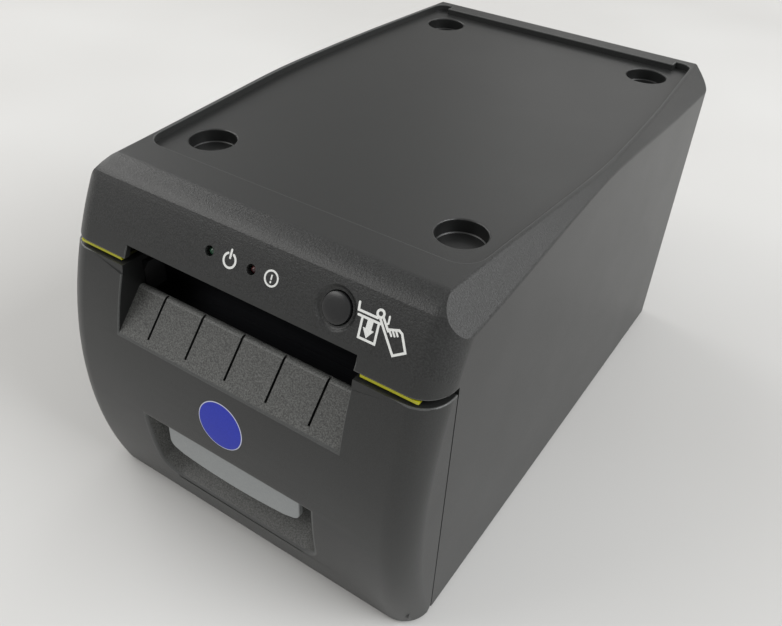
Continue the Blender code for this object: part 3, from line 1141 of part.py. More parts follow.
CUTTER_AXIS = (FRONT_Y + CUTTER_MOTOR_INSET, FOOT_HEIGHT + CUTTER_MOTOR_RISE)
HEAD_ROD_RADIUS = 0.0012

# Print head: it meets the platen on a line above its middle, in a frame of its own
HEAD_ANGLE = math.radians(70)
HEAD_FORWARD = 0.0032
HEAD_BACK = 0.0150
CERAMIC_FORWARD = 0.0030
CERAMIC_BACK = 0.0050
CERAMIC_THICK = 0.0008
SINK_THICK = 0.0030
HEAD_HALF = 0.0415
HEAD_PIVOT_BACK = 0.0130
HEAD_PIVOT_UP = 0.0065
HEAD_LUG_LOW = 0.0300
HEAD_LUG_THICK = 0.0030
HEAD_LUG_RADIUS = 0.0028
HEAD_SPRING_X = 0.024
HEAD_SPRING_RADIUS = 0.0026
HEAD_SPRING_WIRE = 0.0004
HEAD_SPRING_TURNS = 5
HEAD_SPRING_REACH = 0.0025


def head_point(along, up):
    """A point of the print head: along is forwards on its face, up is away from the platen."""
    base = step_from(PLATEN_AXIS, PLATEN_RADIUS + GAP, HEAD_ANGLE)
    forward = step_from(base, along, HEAD_ANGLE + math.pi / 2)
    return step_from(forward, up, HEAD_ANGLE)


HEAD_PIVOT = head_point(-HEAD_PIVOT_BACK, HEAD_PIVOT_UP)


def mechanism_frame():
    """Two side plates joined by a bridge, with the motors, the idler stud and the latch pins on them."""
    front = FRONT_Y + FRAME_FRONT_INSET
    head = FRONT_Y + FRAME_HEAD_INSET
    back = FRONT_Y + FRAME_BACK_INSET
    low, top = BASE_TOP + GAP, FOOT_HEIGHT + FRAME_TOP_RISE
    head_z = FOOT_HEIGHT + FRAME_HEAD_RISE
    side = [(front, low), (back, low), (back, top), (head, top), (head, head_z), (front, head_z - WALL)]
    plates = mirrored(prism("mechanism_frame", side, "X", FRAME_LOW_X, FRAME_HIGH_X))
    bridge = box("frame_bridge", (-FRAME_LOW_X - FRAME_SHEET / 2, FRONT_Y + BRIDGE_FRONT_INSET, BRIDGE_LOW),
                 (FRAME_LOW_X + FRAME_SHEET / 2, FRONT_Y + BRIDGE_BACK_INSET, top - GAP))
    nose = box("bridge_nose", (-BRIDGE_NOSE_HALF, FRONT_Y + BRIDGE_NOSE_INSET, BRIDGE_LOW),
               (BRIDGE_NOSE_HALF, FRONT_Y + BRIDGE_FRONT_INSET + WALL, top - GAP))
    feet = mirrored(box("frame_feet", (FRAME_LOW_X + FRAME_SHEET / 2, front + WALL, low),
                        (FRAME_HIGH_X + FRAME_FOOT_WIDTH, back - WALL, low + FRAME_SHEET)))
    latch_pins = mirrored(rod("latch_pins", LATCH_PIN_RADIUS, "X", (LATCH_PIN_Y, LATCH_PIN_Z),
                              FRAME_LOW_X + FRAME_SHEET / 2, FINGER_LOW_X + FINGER_THICK + SIDE_PLAY / 2, 16))
    idler_stud = rod("idler_stud", IDLER_STUD_RADIUS, "X", IDLER_AXIS, -GEAR_HIGH - SIDE_PLAY / 2,
                     -FRAME_LOW_X - FRAME_SHEET / 2, 16)
    fuse(plates, bridge, nose, feet, latch_pins, idler_stud)
    cut(plates,
        rod("motor_hole", MOTOR_SHAFT_RADIUS + WALL, "X", MOTOR_AXIS, -CASE_HALF, 0, 16),
        rod("cutter_motor_hole", MOTOR_SHAFT_RADIUS + WALL / 2, "X", CUTTER_AXIS, 0, CASE_HALF, 16),
        rod("head_rod_holes", HEAD_ROD_RADIUS + GAP, "X", HEAD_PIVOT, -CASE_HALF, CASE_HALF, 12))
    keep(plates, SHEET_STEEL)
    keep(rod("head_rod", HEAD_ROD_RADIUS, "X", HEAD_PIVOT, -FRAME_HIGH_X, FRAME_HIGH_X, 12), GROUND_STEEL)


def print_head(carrier):
    """Ceramic heater strip under an aluminium plate that swings on a rod and is pushed down by springs."""
    low, high = CERAMIC_THICK + GAP, CERAMIC_THICK + GAP + SINK_THICK
    sink = prism("head_plate", [head_point(HEAD_FORWARD, low), head_point(HEAD_FORWARD, high),
                                head_point(-HEAD_BACK, high), head_point(-HEAD_BACK, low)],
                 "X", -HEAD_HALF, HEAD_HALF)
    lug = arc_points(HEAD_PIVOT, HEAD_LUG_RADIUS, HEAD_ANGLE - math.pi / 2, HEAD_ANGLE + math.pi / 2, 8)
    lug += [head_point(-HEAD_PIVOT_BACK + HEAD_LUG_RADIUS, high - GAP),
            head_point(-HEAD_PIVOT_BACK - HEAD_LUG_RADIUS, high - GAP)]
    fuse(sink, mirrored(prism("head_lugs", lug, "X", HEAD_LUG_LOW, HEAD_LUG_LOW + HEAD_LUG_THICK)))
    cut(sink, rod("lug_bores", HEAD_ROD_RADIUS + GAP, "X", HEAD_PIVOT, -HEAD_HALF, HEAD_HALF, 12))
    keep(sink, ALUMINIUM, carrier)
    ceramic = prism("head_ceramic", [
        head_point(CERAMIC_FORWARD, 0), head_point(CERAMIC_FORWARD, CERAMIC_THICK),
                                     head_point(-CERAMIC_BACK, CERAMIC_THICK), head_point(-CERAMIC_BACK, 0)],
                    "X", -HEAD_HALF, HEAD_HALF)
    keep(ceramic, CERAMIC, carrier)


def head_springs():
    """Two coil springs between the bridge and the head plate."""
    spring_y = PLATEN_Y + HEAD_SPRING_RADIUS
    plate_top = max(head_point(-HEAD_SPRING_REACH, CERAMIC_THICK + GAP + SINK_THICK)[1],
                    head_point(HEAD_SPRING_REACH, CERAMIC_THICK + GAP + SINK_THICK)[1])
    for name, x in (("head_spring_left", -HEAD_SPRING_X), ("head_spring_right", HEAD_SPRING_X)):
        keep(coil(name, HEAD_SPRING_RADIUS, HEAD_SPRING_WIRE, HEAD_SPRING_TURNS, "Z", (x, spring_y),
                  plate_top + GAP, BRIDGE_LOW - GAP), GROUND_STEEL)


def feed_drive(idler_carrier, motor_carrier):
    """Paper motor inside the left plate, its pinion and the idler gear outside it."""
    profile = [(0, -FRAME_LOW_X + GAP), (MOTOR_FLANGE_RADIUS, -FRAME_LOW_X + GAP),
               (MOTOR_FLANGE_RADIUS, -FRAME_LOW_X + GAP + MOTOR_FLANGE_THICK),
               (MOTOR_RADIUS, -FRAME_LOW_X + GAP + MOTOR_FLANGE_THICK),
               (MOTOR_RADIUS, -FRAME_LOW_X + MOTOR_LENGTH), (0, -FRAME_LOW_X + MOTOR_LENGTH)]
    keep(turned("feed_motor", profile, "X", MOTOR_AXIS, 28), SHEET_STEEL)
    idler = gear("idler_gear", IDLER_TEETH, IDLER_AXIS, IDLER_PHASE,
                 -GEAR_HIGH, -GEAR_LOW, IDLER_STUD_RADIUS + GAP)
    keep(idler, GEAR_PLASTIC, idler_carrier)
    pinion = gear("feed_pinion", PINION_TEETH, MOTOR_AXIS, PINION_PHASE, -GEAR_HIGH, -GEAR_LOW)
    fuse(pinion, rod("feed_motor_shaft", MOTOR_SHAFT_RADIUS, "X", MOTOR_AXIS, -GEAR_HIGH - SIDE_PLAY / 2,
                     -FRAME_LOW_X, 12))
    keep(pinion, GROUND_STEEL, motor_carrier)


# Cutter: a frame plate behind the moving blade, guide studs through its slots, a rack and its drive
CUTTER_TRAVEL = 0.007
MOVING_BLADE_INSET = FIXED_BLADE_INSET + BLADE_THICK + GAP
MOVING_LOW_RISE = 0.0935
MOVING_HIGH_RISE = 0.104
MOVING_HALF = 0.0413
RACK_LOW_X = 0.0383
RACK_EAR_RISE = 0.1113
RACK_LOW_RISE = 0.0965
CUTTER_PLATE_THICK = 0.0014
CUTTER_PLATE_HIGH_RISE = 0.110
CUTTER_PLATE_RIGHT = 0.036
STUD_X = 0.030
STUD_RADIUS = 0.0015
STUD_HEAD_RADIUS = 0.0026
STUD_HEAD_THICK = 0.0008
STUD_RISE = 0.0985
CUTTER_TEETH = 10
CUTTER_MOTOR_RADIUS = 0.0065
CUTTER_MOTOR_LENGTH = 0.012
MOVING_Y = FRONT_Y + MOVING_BLADE_INSET
MOVING_LOW = FOOT_HEIGHT + MOVING_LOW_RISE
STUD_Z = FOOT_HEIGHT + STUD_RISE
CUTTER_PHASE = math.pi


def cutter(blade_carrier, pinion_carrier):
    """Guillotine cutter: the moving blade slides down on two studs, driven by a rack."""
    rack_line = CUTTER_AXIS[0] - pitch_radius(CUTTER_TEETH)
    blade_back = MOVING_Y + BLADE_THICK
    outline = [(-MOVING_HALF, MOVING_LOW), (MOVING_HALF, MOVING_LOW),
               (MOVING_HALF, FOOT_HEIGHT + RACK_EAR_RISE),
               (RACK_LOW_X - WALL, FOOT_HEIGHT + RACK_EAR_RISE),
               (RACK_LOW_X - WALL, FOOT_HEIGHT + MOVING_HIGH_RISE),
               (-MOVING_HALF, FOOT_HEIGHT + MOVING_HIGH_RISE)]
    blade = prism("moving_blade", outline, "Y", MOVING_Y, blade_back)
    pitch = math.pi * GEAR_MODULE
    root = rack_line - GEAR_MODULE * DEDENDUM_SHARE
    tip = rack_line + GEAR_MODULE * ADDENDUM_SHARE
    first = CUTTER_AXIS[1] + pitch / 2
    teeth_up = int((FOOT_HEIGHT + RACK_EAR_RISE - first) / pitch)
    teeth_down = int((first - FOOT_HEIGHT - RACK_LOW_RISE) / pitch)
    rack_top = first + pitch * (teeth_up + 0.5)
    rack_bottom = first - pitch * (teeth_down + 0.5)
    rack = [(blade_back - GAP, rack_top), (blade_back - GAP, rack_bottom), (root, rack_bottom)]
    for i in range(-teeth_down, teeth_up + 1):
        middle = first + pitch * i
        rack.append((root, middle - pitch * TOOTH_ROOT_SHARE / 2))
        rack.append((tip, middle - pitch * TOOTH_TIP_SHARE / 2))
        rack.append((tip, middle + pitch * TOOTH_TIP_SHARE / 2))
        rack.append((root, middle + pitch * TOOTH_ROOT_SHARE / 2))
    rack.append((root, rack_top))
    fuse(blade, prism("blade_rack", rack, "X", RACK_LOW_X, MOVING_HALF))
    slots = mirrored(box("blade_slots",
                         (STUD_X - STUD_RADIUS - GAP, MOVING_Y - WALL, STUD_Z - STUD_RADIUS - GAP),
                         (STUD_X + STUD_RADIUS + GAP, blade_back + WALL,
                          STUD_Z + STUD_RADIUS + GAP + CUTTER_TRAVEL)))
    cut(blade, slots)
    keep(blade, GROUND_STEEL, blade_carrier)
    plate_y = blade_back + GAP
    plate = box("cutter_plate", (-FRAME_LOW_X + GAP, plate_y, MOVING_LOW + GAP),
                (CUTTER_PLATE_RIGHT, plate_y + CUTTER_PLATE_THICK, FOOT_HEIGHT + CUTTER_PLATE_HIGH_RISE))
    head_y = MOVING_Y - GAP
    studs = mirrored(turned("cutter_studs", [
        (0, plate_y + CUTTER_PLATE_THICK / 2), (STUD_RADIUS, plate_y + CUTTER_PLATE_THICK / 2),
        (STUD_RADIUS, head_y), (STUD_HEAD_RADIUS, head_y),
        (STUD_HEAD_RADIUS, head_y - STUD_HEAD_THICK), (0, head_y - STUD_HEAD_THICK)],
        "Y", (STUD_X, STUD_Z), 14))
    keep(fuse(plate, studs), SHEET_STEEL)
    pinion = gear("cutter_pinion", CUTTER_TEETH, CUTTER_AXIS, CUTTER_PHASE,
                  RACK_LOW_X, RACK_LOW_X + GEAR_THICK)
    fuse(pinion, rod("cutter_shaft", MOTOR_SHAFT_RADIUS, "X", CUTTER_AXIS, RACK_LOW_X - SIDE_PLAY / 2,
                     FRAME_HIGH_X, 12))
    keep(pinion, GROUND_STEEL, pinion_carrier)
    keep(rod("cutter_motor", CUTTER_MOTOR_RADIUS, "X", CUTTER_AXIS, FRAME_HIGH_X + GAP,
             FRAME_HIGH_X + CUTTER_MOTOR_LENGTH, 24), SHEET_STEEL)


# Electronics behind the bay, and the socket panel in the back wall
BOARD_FRONT = 0.0060
BOARD_BACK = 0.0955
CAPACITOR_PLACES = ((-0.040, 0.030), (-0.040, 0.047))
CAPACITOR_RADIUS = 0.0062
CAPACITOR_HEIGHT = 0.025
CHIP_Y = 0.045
CHIP_HALF = 0.009
CHIP_HEIGHT = 0.0016
SINK_X = 0.020
SINK_Y = 0.025
SINK_LENGTH = 0.024
SINK_WIDTH = 0.012
SINK_HEIGHT = 0.018
BOARD_HALF = 0.052
BOARD_THICK = 0.0016
STANDOFF_HEIGHT = 0.006
STANDOFF_RADIUS = 0.0028
STANDOFF_INSET = 0.006
BOARD_LOW = BASE_TOP + STANDOFF_HEIGHT
BOARD_TOP = BOARD_LOW + BOARD_THICK
STANDOFF_PLACES = [(side * (BOARD_HALF - STANDOFF_INSET), y) for side in (-1, 1)
                   for y in (BOARD_FRONT + STANDOFF_INSET, BOARD_BACK - STANDOFF_INSET)]
PANEL_PLATE_THICK = 0.0012
PANEL_MARGIN = 0.0025
POWER_X = -0.031
USB_X = -0.008
DRAWER_X = 0.010
ROCKER_X = 0.033
SOCKET_Z = 0.0195
USB_HALF = 0.0060
USB_HEIGHT = 0.0110
USB_DEPTH = 0.0160
DRAWER_HALF = 0.0070
DRAWER_HEIGHT = 0.0130
POWER_HALF = 0.0070
POWER_HEIGHT = 0.0140
SOCKET_WALL = 0.0012
SOCKET_RECESS = 0.0010
SOCKET_HOLLOW_DEPTH = 0.0095
ROCKER_HALF = 0.0045
ROCKER_HEIGHT = 0.0130
SWITCH_DEPTH = 0.0105
ROCKER_WELL = 0.0060
ROCKER_PIVOT_DEPTH = 0.0022
ROCKER_BELLY = 0.0016
ROCKER_FACE = 0.0012
ROCKER_DISH = 0.0008
ROCKER_HEIGHT_SHARE = 0.44
BEZEL_WALL = 0.0016
ROCKER_TILT = math.radians(9)


def electronics():
    """Main board on the base's standoffs, with its tall components."""
    keep(box("main_board", (-BOARD_HALF, BOARD_FRONT, BOARD_LOW), (BOARD_HALF, BOARD_BACK, BOARD_TOP)),
         BOARD_GREEN)
    seat = BOARD_TOP + GAP
    for number, (x, y) in enumerate(CAPACITOR_PLACES, 1):
        keep(rod(f"capacitor_{number}", CAPACITOR_RADIUS, "Z", (x, y), seat, seat + CAPACITOR_HEIGHT, 16),
             SATIN_BLACK)
    keep(box("processor", (-CHIP_HALF, CHIP_Y - CHIP_HALF, seat),
             (CHIP_HALF, CHIP_Y + CHIP_HALF, seat + CHIP_HEIGHT)),
         BLACK_PLASTIC)
    keep(box("board_heatsink", (SINK_X, SINK_Y, seat),
             (SINK_X + SINK_LENGTH, SINK_Y + SINK_WIDTH, seat + SINK_HEIGHT)),
         ALUMINIUM)


def socket(name, x, half, height, finish):
    """A socket on the board's rear edge: a shell that is hollow from its mouth."""
    mouth = BACK_Y - SOCKET_RECESS
    low = BOARD_TOP + GAP
    shell = box(name, (x - half, mouth - USB_DEPTH, low), (x + half, mouth, low + height))
    cut(shell, box(name + "_hollow", (x - half + SOCKET_WALL, mouth - SOCKET_HOLLOW_DEPTH, low + SOCKET_WALL),
                   (x + half - SOCKET_WALL, mouth + OVERRUN, low + height - SOCKET_WALL)))
    keep(shell, finish)


def rear_panel(rocker_carrier):
    """Socket panel behind the window in the back wall, its sockets and the power switch."""
    face = BACK_Y - WALL - GAP
    low, high = WINDOW_LOW - PANEL_MARGIN, WINDOW_HIGH + PANEL_MARGIN
    panel = box("socket_panel", (-WINDOW_HALF - PANEL_MARGIN, face - PANEL_PLATE_THICK, low),
                (WINDOW_HALF + PANEL_MARGIN, face, high))
    base = BOARD_TOP + GAP
    cuts = []
    for name, x, half, height in (("power", POWER_X, POWER_HALF, POWER_HEIGHT),
                                  ("usb", USB_X, USB_HALF, USB_HEIGHT),
                                  ("drawer", DRAWER_X, DRAWER_HALF, DRAWER_HEIGHT)):
        cuts.append(box(name + "_port", (x - half - GAP, face - OVERRUN, base - GAP),
                        (x + half + GAP, face + OVERRUN, base + height + GAP)))
    bezel_half, bezel_height = ROCKER_HALF + BEZEL_WALL, ROCKER_HEIGHT / 2 + BEZEL_WALL
    cuts.append(box("rocker_port",
                    (ROCKER_X - bezel_half - GAP, face - OVERRUN, SOCKET_Z - bezel_height - GAP),
                    (ROCKER_X + bezel_half + GAP, face + OVERRUN, SOCKET_Z + bezel_height + GAP)))
    cut(panel, joined("panel_ports", *cuts))
    keep(panel, BLACK_PLASTIC)
    socket("power_socket", POWER_X, POWER_HALF, POWER_HEIGHT, SATIN_BLACK)
    socket("usb_socket", USB_X, USB_HALF, USB_HEIGHT, GROUND_STEEL)
    socket("drawer_socket", DRAWER_X, DRAWER_HALF, DRAWER_HEIGHT, SATIN_BLACK)
    mouth = BACK_Y - SOCKET_RECESS
    bezel = box("switch_body", (ROCKER_X - bezel_half, mouth - SWITCH_DEPTH, SOCKET_Z - bezel_height),
                (ROCKER_X + bezel_half, mouth, SOCKET_Z + bezel_height))
    cut(bezel, box("switch_well",
                   (ROCKER_X - ROCKER_HALF - GAP, mouth - ROCKER_WELL, SOCKET_Z - ROCKER_HEIGHT / 2 - GAP),
                   (ROCKER_X + ROCKER_HALF + GAP, mouth + OVERRUN, SOCKET_Z + ROCKER_HEIGHT / 2 + GAP)))
    keep(bezel, SATIN_BLACK)
    pivot_y = mouth - ROCKER_PIVOT_DEPTH
    rocker_half = ROCKER_HEIGHT * ROCKER_HEIGHT_SHARE
    rocker = prism("power_rocker", [
        (pivot_y - ROCKER_BELLY, SOCKET_Z), (pivot_y - ROCKER_BELLY / 2, SOCKET_Z - rocker_half),
        (pivot_y + ROCKER_FACE, SOCKET_Z - rocker_half), (pivot_y + ROCKER_FACE - ROCKER_DISH, SOCKET_Z),
        (pivot_y + ROCKER_FACE, SOCKET_Z + rocker_half),
        (pivot_y - ROCKER_BELLY / 2, SOCKET_Z + rocker_half)],
        "X", ROCKER_X - ROCKER_HALF, ROCKER_X + ROCKER_HALF)
    keep(tilt(rocker, -ROCKER_TILT, (pivot_y, SOCKET_Z)), SATIN_BLACK, rocker_carrier)


top_housing()
light_guide()
base_plate()
paper_bay()
mechanism_frame()
head_springs()
electronics()

door_axis = joint_axis("door_hinge_axis", (0, HINGE_Y, HINGE_Z))
front_door(door_axis)
door_liner(door_axis)
platen_bushes(door_axis)
fixed_blade(door_axis)
latch_spring = coil("latch_spring", LATCH_SPRING_RADIUS, LATCH_SPRING_WIRE, LATCH_SPRING_TURNS,
                    "X", (LATCH_Y, LATCH_Z), LATCH_SPRING_LOW, LATCH_SPRING_LOW + LATCH_SPRING_LENGTH)
keep(latch_spring, GROUND_STEEL, door_axis)
platen(joint_axis("platen_axis", (0, PLATEN_Y, PLATEN_Z)))
latch_bar(joint_axis("latch_axis", (0, LATCH_Y, LATCH_Z)))
release_lever(joint_axis("lever_axis", (0, LEVER_Y, LEVER_Z)))
button_and_lights(joint_axis(
    "button_axis", (BUTTON_X, ARC_Y - FRONT_RADIUS * math.cos(CONTROL_TILT), CONTROL_Z)))
feed_drive(joint_axis("idler_axis", (0, *IDLER_AXIS)), joint_axis("feed_motor_axis", (0, *MOTOR_AXIS)))
print_head(joint_axis("head_axis", (0, *HEAD_PIVOT)))
cutter(joint_axis("blade_axis", (0, MOVING_Y, MOVING_LOW)),
       joint_axis("cutter_motor_axis", (0, *CUTTER_AXIS)))
rear_panel(joint_axis("rocker_axis", (ROCKER_X, BACK_Y - SOCKET_RECESS - ROCKER_PIVOT_DEPTH, SOCKET_Z)))
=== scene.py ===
"""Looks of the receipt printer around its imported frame."""

import math

import bmesh
import bpy
from mathutils import Matrix, Quaternion, Vector


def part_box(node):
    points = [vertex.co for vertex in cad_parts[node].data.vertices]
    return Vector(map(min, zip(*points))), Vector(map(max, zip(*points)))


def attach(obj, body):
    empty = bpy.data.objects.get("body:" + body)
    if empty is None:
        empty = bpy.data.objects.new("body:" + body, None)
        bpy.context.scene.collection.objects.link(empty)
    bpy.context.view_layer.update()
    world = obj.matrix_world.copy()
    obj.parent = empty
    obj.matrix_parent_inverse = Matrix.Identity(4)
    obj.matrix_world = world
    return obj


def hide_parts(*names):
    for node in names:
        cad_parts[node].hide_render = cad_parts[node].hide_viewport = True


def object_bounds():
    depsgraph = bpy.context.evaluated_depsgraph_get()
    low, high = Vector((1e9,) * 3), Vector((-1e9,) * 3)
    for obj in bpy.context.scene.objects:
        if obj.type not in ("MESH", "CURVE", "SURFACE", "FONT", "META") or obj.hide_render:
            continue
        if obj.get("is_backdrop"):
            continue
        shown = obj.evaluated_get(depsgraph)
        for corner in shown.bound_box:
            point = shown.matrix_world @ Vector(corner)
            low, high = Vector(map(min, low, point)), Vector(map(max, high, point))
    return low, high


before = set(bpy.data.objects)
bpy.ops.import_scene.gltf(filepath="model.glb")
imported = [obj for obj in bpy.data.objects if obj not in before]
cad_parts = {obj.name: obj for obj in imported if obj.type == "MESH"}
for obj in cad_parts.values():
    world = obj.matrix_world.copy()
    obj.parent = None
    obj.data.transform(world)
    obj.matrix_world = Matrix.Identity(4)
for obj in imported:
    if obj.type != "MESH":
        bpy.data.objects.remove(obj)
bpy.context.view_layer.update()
scene = bpy.context.scene
scene.view_settings.view_transform = "Standard"


# Camera at the photograph's place: above the right front corner, looking down on the tray.
# Its place, turn and lens come from the casing's corners in the photograph.
camera =bpy.data.objects.new("camera", bpy.data.cameras.new("camera"))
camera.data.sensor_width = 36.0
camera.data.lens = 37.891
camera.data.clip_start = 0.01
camera.location = (0.129562, -0.226903, 0.234013)
camera.rotation_mode = "QUATERNION"
camera.rotation_quaternion = Quaternion((0.855769, 0.428549, 0.107832, 0.269030))
scene.collection.objects.link(camera)
scene.camera = camera


# Table and backdrop: one pale sheet that lies under the printer and curves up far behind it.
# The lens sees it as pale as it is painted, and so do the glossy pieces.
def pale_sheet():
    bm = bmesh.new()
    reach, rise, bend, steps = 3.2, 2.4, 1.2, 16
    profile = [(-reach, 0.0), (reach - bend, 0.0)]
    profile += [(reach - bend + bend * math.sin(a), bend - bend * math.cos(a))
                for a in (math.pi / 2 * i / steps for i in range(1, steps + 1))]
    profile.append((reach, rise))
    rows = [[bm.verts.new((x, y, z)) for x in (-reach, reach)] for y, z in profile]
    for row, following in zip(rows, rows[1:]):
        bm.faces.new((row[0], row[1], following[1], following[0]))
    mesh = bpy.data.meshes.new("table_sheet")
    bm.to_mesh(mesh)
    bm.free()
    mesh.shade_smooth()
    return bpy.data.objects.new("table_sheet", mesh)


def new_finish(name):
    """A material and its shader, with short ways to add a node and to join two sockets."""
    finish = bpy.data.materials.new(name)
    finish.use_nodes = True
    tree = finish.node_tree

    def add(kind, **values):
        node = tree.nodes.new("ShaderNode" + kind)
        for socket, value in values.items():
            node.inputs[socket.replace("_", " ")].default_value = value
        return node

    def join(source, output, target, socket):
        tree.links.new(source.outputs[output], target.inputs[socket])

    return finish, tree.nodes["Principled BSDF"], add, join


def two_tone(add, places, first, second):
    """A ramp from one colour to another."""
    tone = add("ValToRGB")
    for element, position, colour in zip(tone.color_ramp.elements, places, (first, second)):
        element.position = position
        element.color = (*colour, 1)
    return tone


def roughened(add, join, shader, noise, low, high, depth=None):
    """Sheen, and relief where a depth is given, that follow one noise."""
    sheen = add("MapRange", To_Min=low, To_Max=high)
    join(noise, "Fac", sheen, "Value")
    join(sheen, "Result", shader, "Roughness")
    if depth:
        bump = add("Bump", Distance=depth)
        join(noise, "Fac", bump, "Height")
        join(bump, "Normal", shader, "Normal")


sheet = pale_sheet()
scene.collection.objects.link(sheet)
sheet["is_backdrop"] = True
paper_white, cloth, add, join = new_finish("table_cloth")
cloth.inputs["Roughness"].default_value = 0.9
# The cloth's tone is mottled by a broad noise: painted soft shade of folds.
fold_shade = add("TexNoise", Scale=3.5, Detail=2.0)
tint = two_tone(add, (0.35, 0.70), (0.545, 0.540, 0.528), (0.610, 0.608, 0.598))
join(add("TexCoord"), "Object", fold_shade, "Vector")
join(fold_shade, "Fac", tint, "Fac")
join(tint, "Color", cloth, "Base Color")
sheet.data.materials.append(paper_white)


# Even daylight from the room, a wide window at the right, and weaker panes of light around it.
# All of them are large and soft, and look at the printer.
world = bpy.data.worlds.new("room")
scene.world = world
world.use_nodes = True
room = world.node_tree.nodes["Background"]
room.inputs["Color"].default_value = (1.0, 0.995, 0.985, 1)
room.inputs["Strength"].default_value = 0.59

for name, place, size, power, colour in (
        ("window_light", (1.5, 0.2, 1.2), (1.2, 1.0), 28, (0.98, 0.99, 1.0)),
        ("left_light", (-1.6, 0.2, 1.0), (1.2, 0.8), 9, (1.0, 0.99, 0.97)),
        ("front_light", (-1.0, -0.85, 1.15), (1.0, 0.8), 8, (1.0, 0.99, 0.97)),
        ("rear_light", (1.2, 1.2, 0.8), (1.2, 1.0), 4, (1.0, 0.99, 0.98)),
        ("back_light", (0, 2.0, 1.4), (2.0, 1.0), 5.5, (1.0, 0.99, 0.98))):
    lamp = bpy.data.lights.new(name, "AREA")
    lamp.shape = "RECTANGLE"
    lamp.size, lamp.size_y = size
    lamp.energy = power
    lamp.color = colour
    lamp_object = bpy.data.objects.new(name, lamp)
    lamp_object.location = place
    lamp_object.rotation_euler = (Vector((0, 0, 0.05)) - Vector(place)).to_track_quat("-Z", "Y").to_euler()
    scene.collection.objects.link(lamp_object)


# Top housing: the top, sides, back and upper front of the casing, one moulding in charcoal ABS.
# The bowed front, the rounded edges and the chamfers along the top are carved from one block,
# then the tray, the foot cups and the holes for the controls.
WALL = 0.002
GAP = 0.0003
CASE_HALF = 0.066
CASE_TOP = 0.119
FOOT_HEIGHT = 0.002
FRONT_Y, BACK_Y = -0.10835, 0.10835
FRONT_RADIUS = 0.13266
ARC_Y, ARC_Z = FRONT_Y + 0.1327, 0.049
CORNER_RADIUS, TOP_EDGE_RADIUS, REAR_CORNER_RADIUS = 0.009, 0.006, 0.005
FASCIA_Z, DOOR_TOP = 0.096, 0.094
SEAM_Y = FRONT_Y + 0.0194
PAST = 0.003

ALONG = {
    "X": Matrix(((0, 0, 1, 0), (1, 0, 0, 0), (0, 1, 0, 0), (0, 0, 0, 1))),
    "Y": Matrix(((1, 0, 0, 0), (0, 0, 1, 0), (0, 1, 0, 0), (0, 0, 0, 1))),
    "Z": Matrix.Identity(4),
}


def shape_from(name, bm):
    bmesh.ops.recalc_face_normals(bm, faces=bm.faces)
    mesh = bpy.data.meshes.new(name)
    bm.to_mesh(mesh)
    bm.free()
    made = bpy.data.objects.new(name, mesh)
    scene.collection.objects.link(made)
    return made


def block(name, low, high):
    bm = bmesh.new()
    middle = [(a + b) / 2 for a, b in zip(low, high)]
    size = [b - a for a, b in zip(low, high)]
    bmesh.ops.create_cube(bm, size=1, matrix=Matrix.Translation(middle) @ Matrix.Diagonal((*size, 1)))
    return shape_from(name, bm)


def points_of(geometry):
    return [part for part in geometry if isinstance(part, bmesh.types.BMVert)]


def bar(name, outline, axis, low, high):
    """An outline drawn square to an axis and drawn out from low to high."""
    bm = bmesh.new()
    flat = bm.faces.new([bm.verts.new((u, v, low)) for u, v in outline])
    grown = bmesh.ops.extrude_face_region(bm, geom=[flat])["geom"]
    bmesh.ops.translate(bm, vec=(0, 0, high - low), verts=points_of(grown))
    bmesh.ops.transform(bm, matrix=ALONG[axis], verts=bm.verts)
    return shape_from(name, bm)


def skin(name, rings):
    """A surface over rings of equal count, capped at its ends."""
    bm = bmesh.new()
    rows = [[bm.verts.new(point) for point in ring] for ring in rings]
    count = len(rows[0])
    for row, following in zip(rows, rows[1:]):
        for i in range(count):
            bm.faces.new((row[i], row[(i + 1) % count], following[(i + 1) % count], following[i]))
    bm.faces.new(rows[0])
    bm.faces.new(rows[-1])
    return shape_from(name, bm)


def lathe(name, profile, axis, across, steps=48):
    """A solid of revolution: profile points are (radius, place along the axis)."""
    bm = bmesh.new()
    corners = [bm.verts.new((radius, 0, along)) for radius, along in profile]
    for first, second in zip(corners, corners[1:]):
        bm.edges.new((first, second))
    bmesh.ops.spin(bm, geom=bm.verts[:] + bm.edges[:], cent=(0, 0, 0), axis=(0, 0, 1),
                   angle=2 * math.pi, steps=steps, use_merge=True)
    bmesh.ops.remove_doubles(bm, verts=bm.verts, dist=1e-6)
    bmesh.ops.transform(bm, matrix=ALONG[axis] @ Matrix.Translation((*across, 0)), verts=bm.verts)
    return shape_from(name, bm)


def pin(name, radius, axis, across, low, high, steps=32):
    return lathe(name, [(0, low), (radius, low), (radius, high), (0, high)], axis, across, steps)


def both_sides(made):
    """The piece and its mirror image, as one object."""
    bm = bmesh.new()
    bm.from_mesh(made.data)
    twin = bmesh.ops.duplicate(bm, geom=bm.verts[:] + bm.edges[:] + bm.faces[:])["geom"]
    bmesh.ops.scale(bm, vec=(-1, 1, 1), verts=points_of(twin))
    name = made.name
    bpy.data.objects.remove(made)
    return shape_from(name, bm)


def carved(target, tools, operation="DIFFERENCE"):
    """Carries out one exact Boolean with all the tools and clears them away."""
    gathered = bpy.data.collections.new(target.name + "_tools")
    scene.collection.children.link(gathered)
    for tool in tools:
        scene.collection.objects.unlink(tool)
        gathered.objects.link(tool)
    step = target.modifiers.new("carve", "BOOLEAN")
    step.operation = operation
    step.solver = "EXACT"
    step.operand_type = "COLLECTION"
    step.collection = gathered
    mesh = bpy.data.meshes.new_from_object(target.evaluated_get(bpy.context.evaluated_depsgraph_get()))
    target.modifiers.clear()
    target.data = mesh
    for tool in tools:
        bpy.data.objects.remove(tool)
    bpy.data.collections.remove(gathered)
    return target


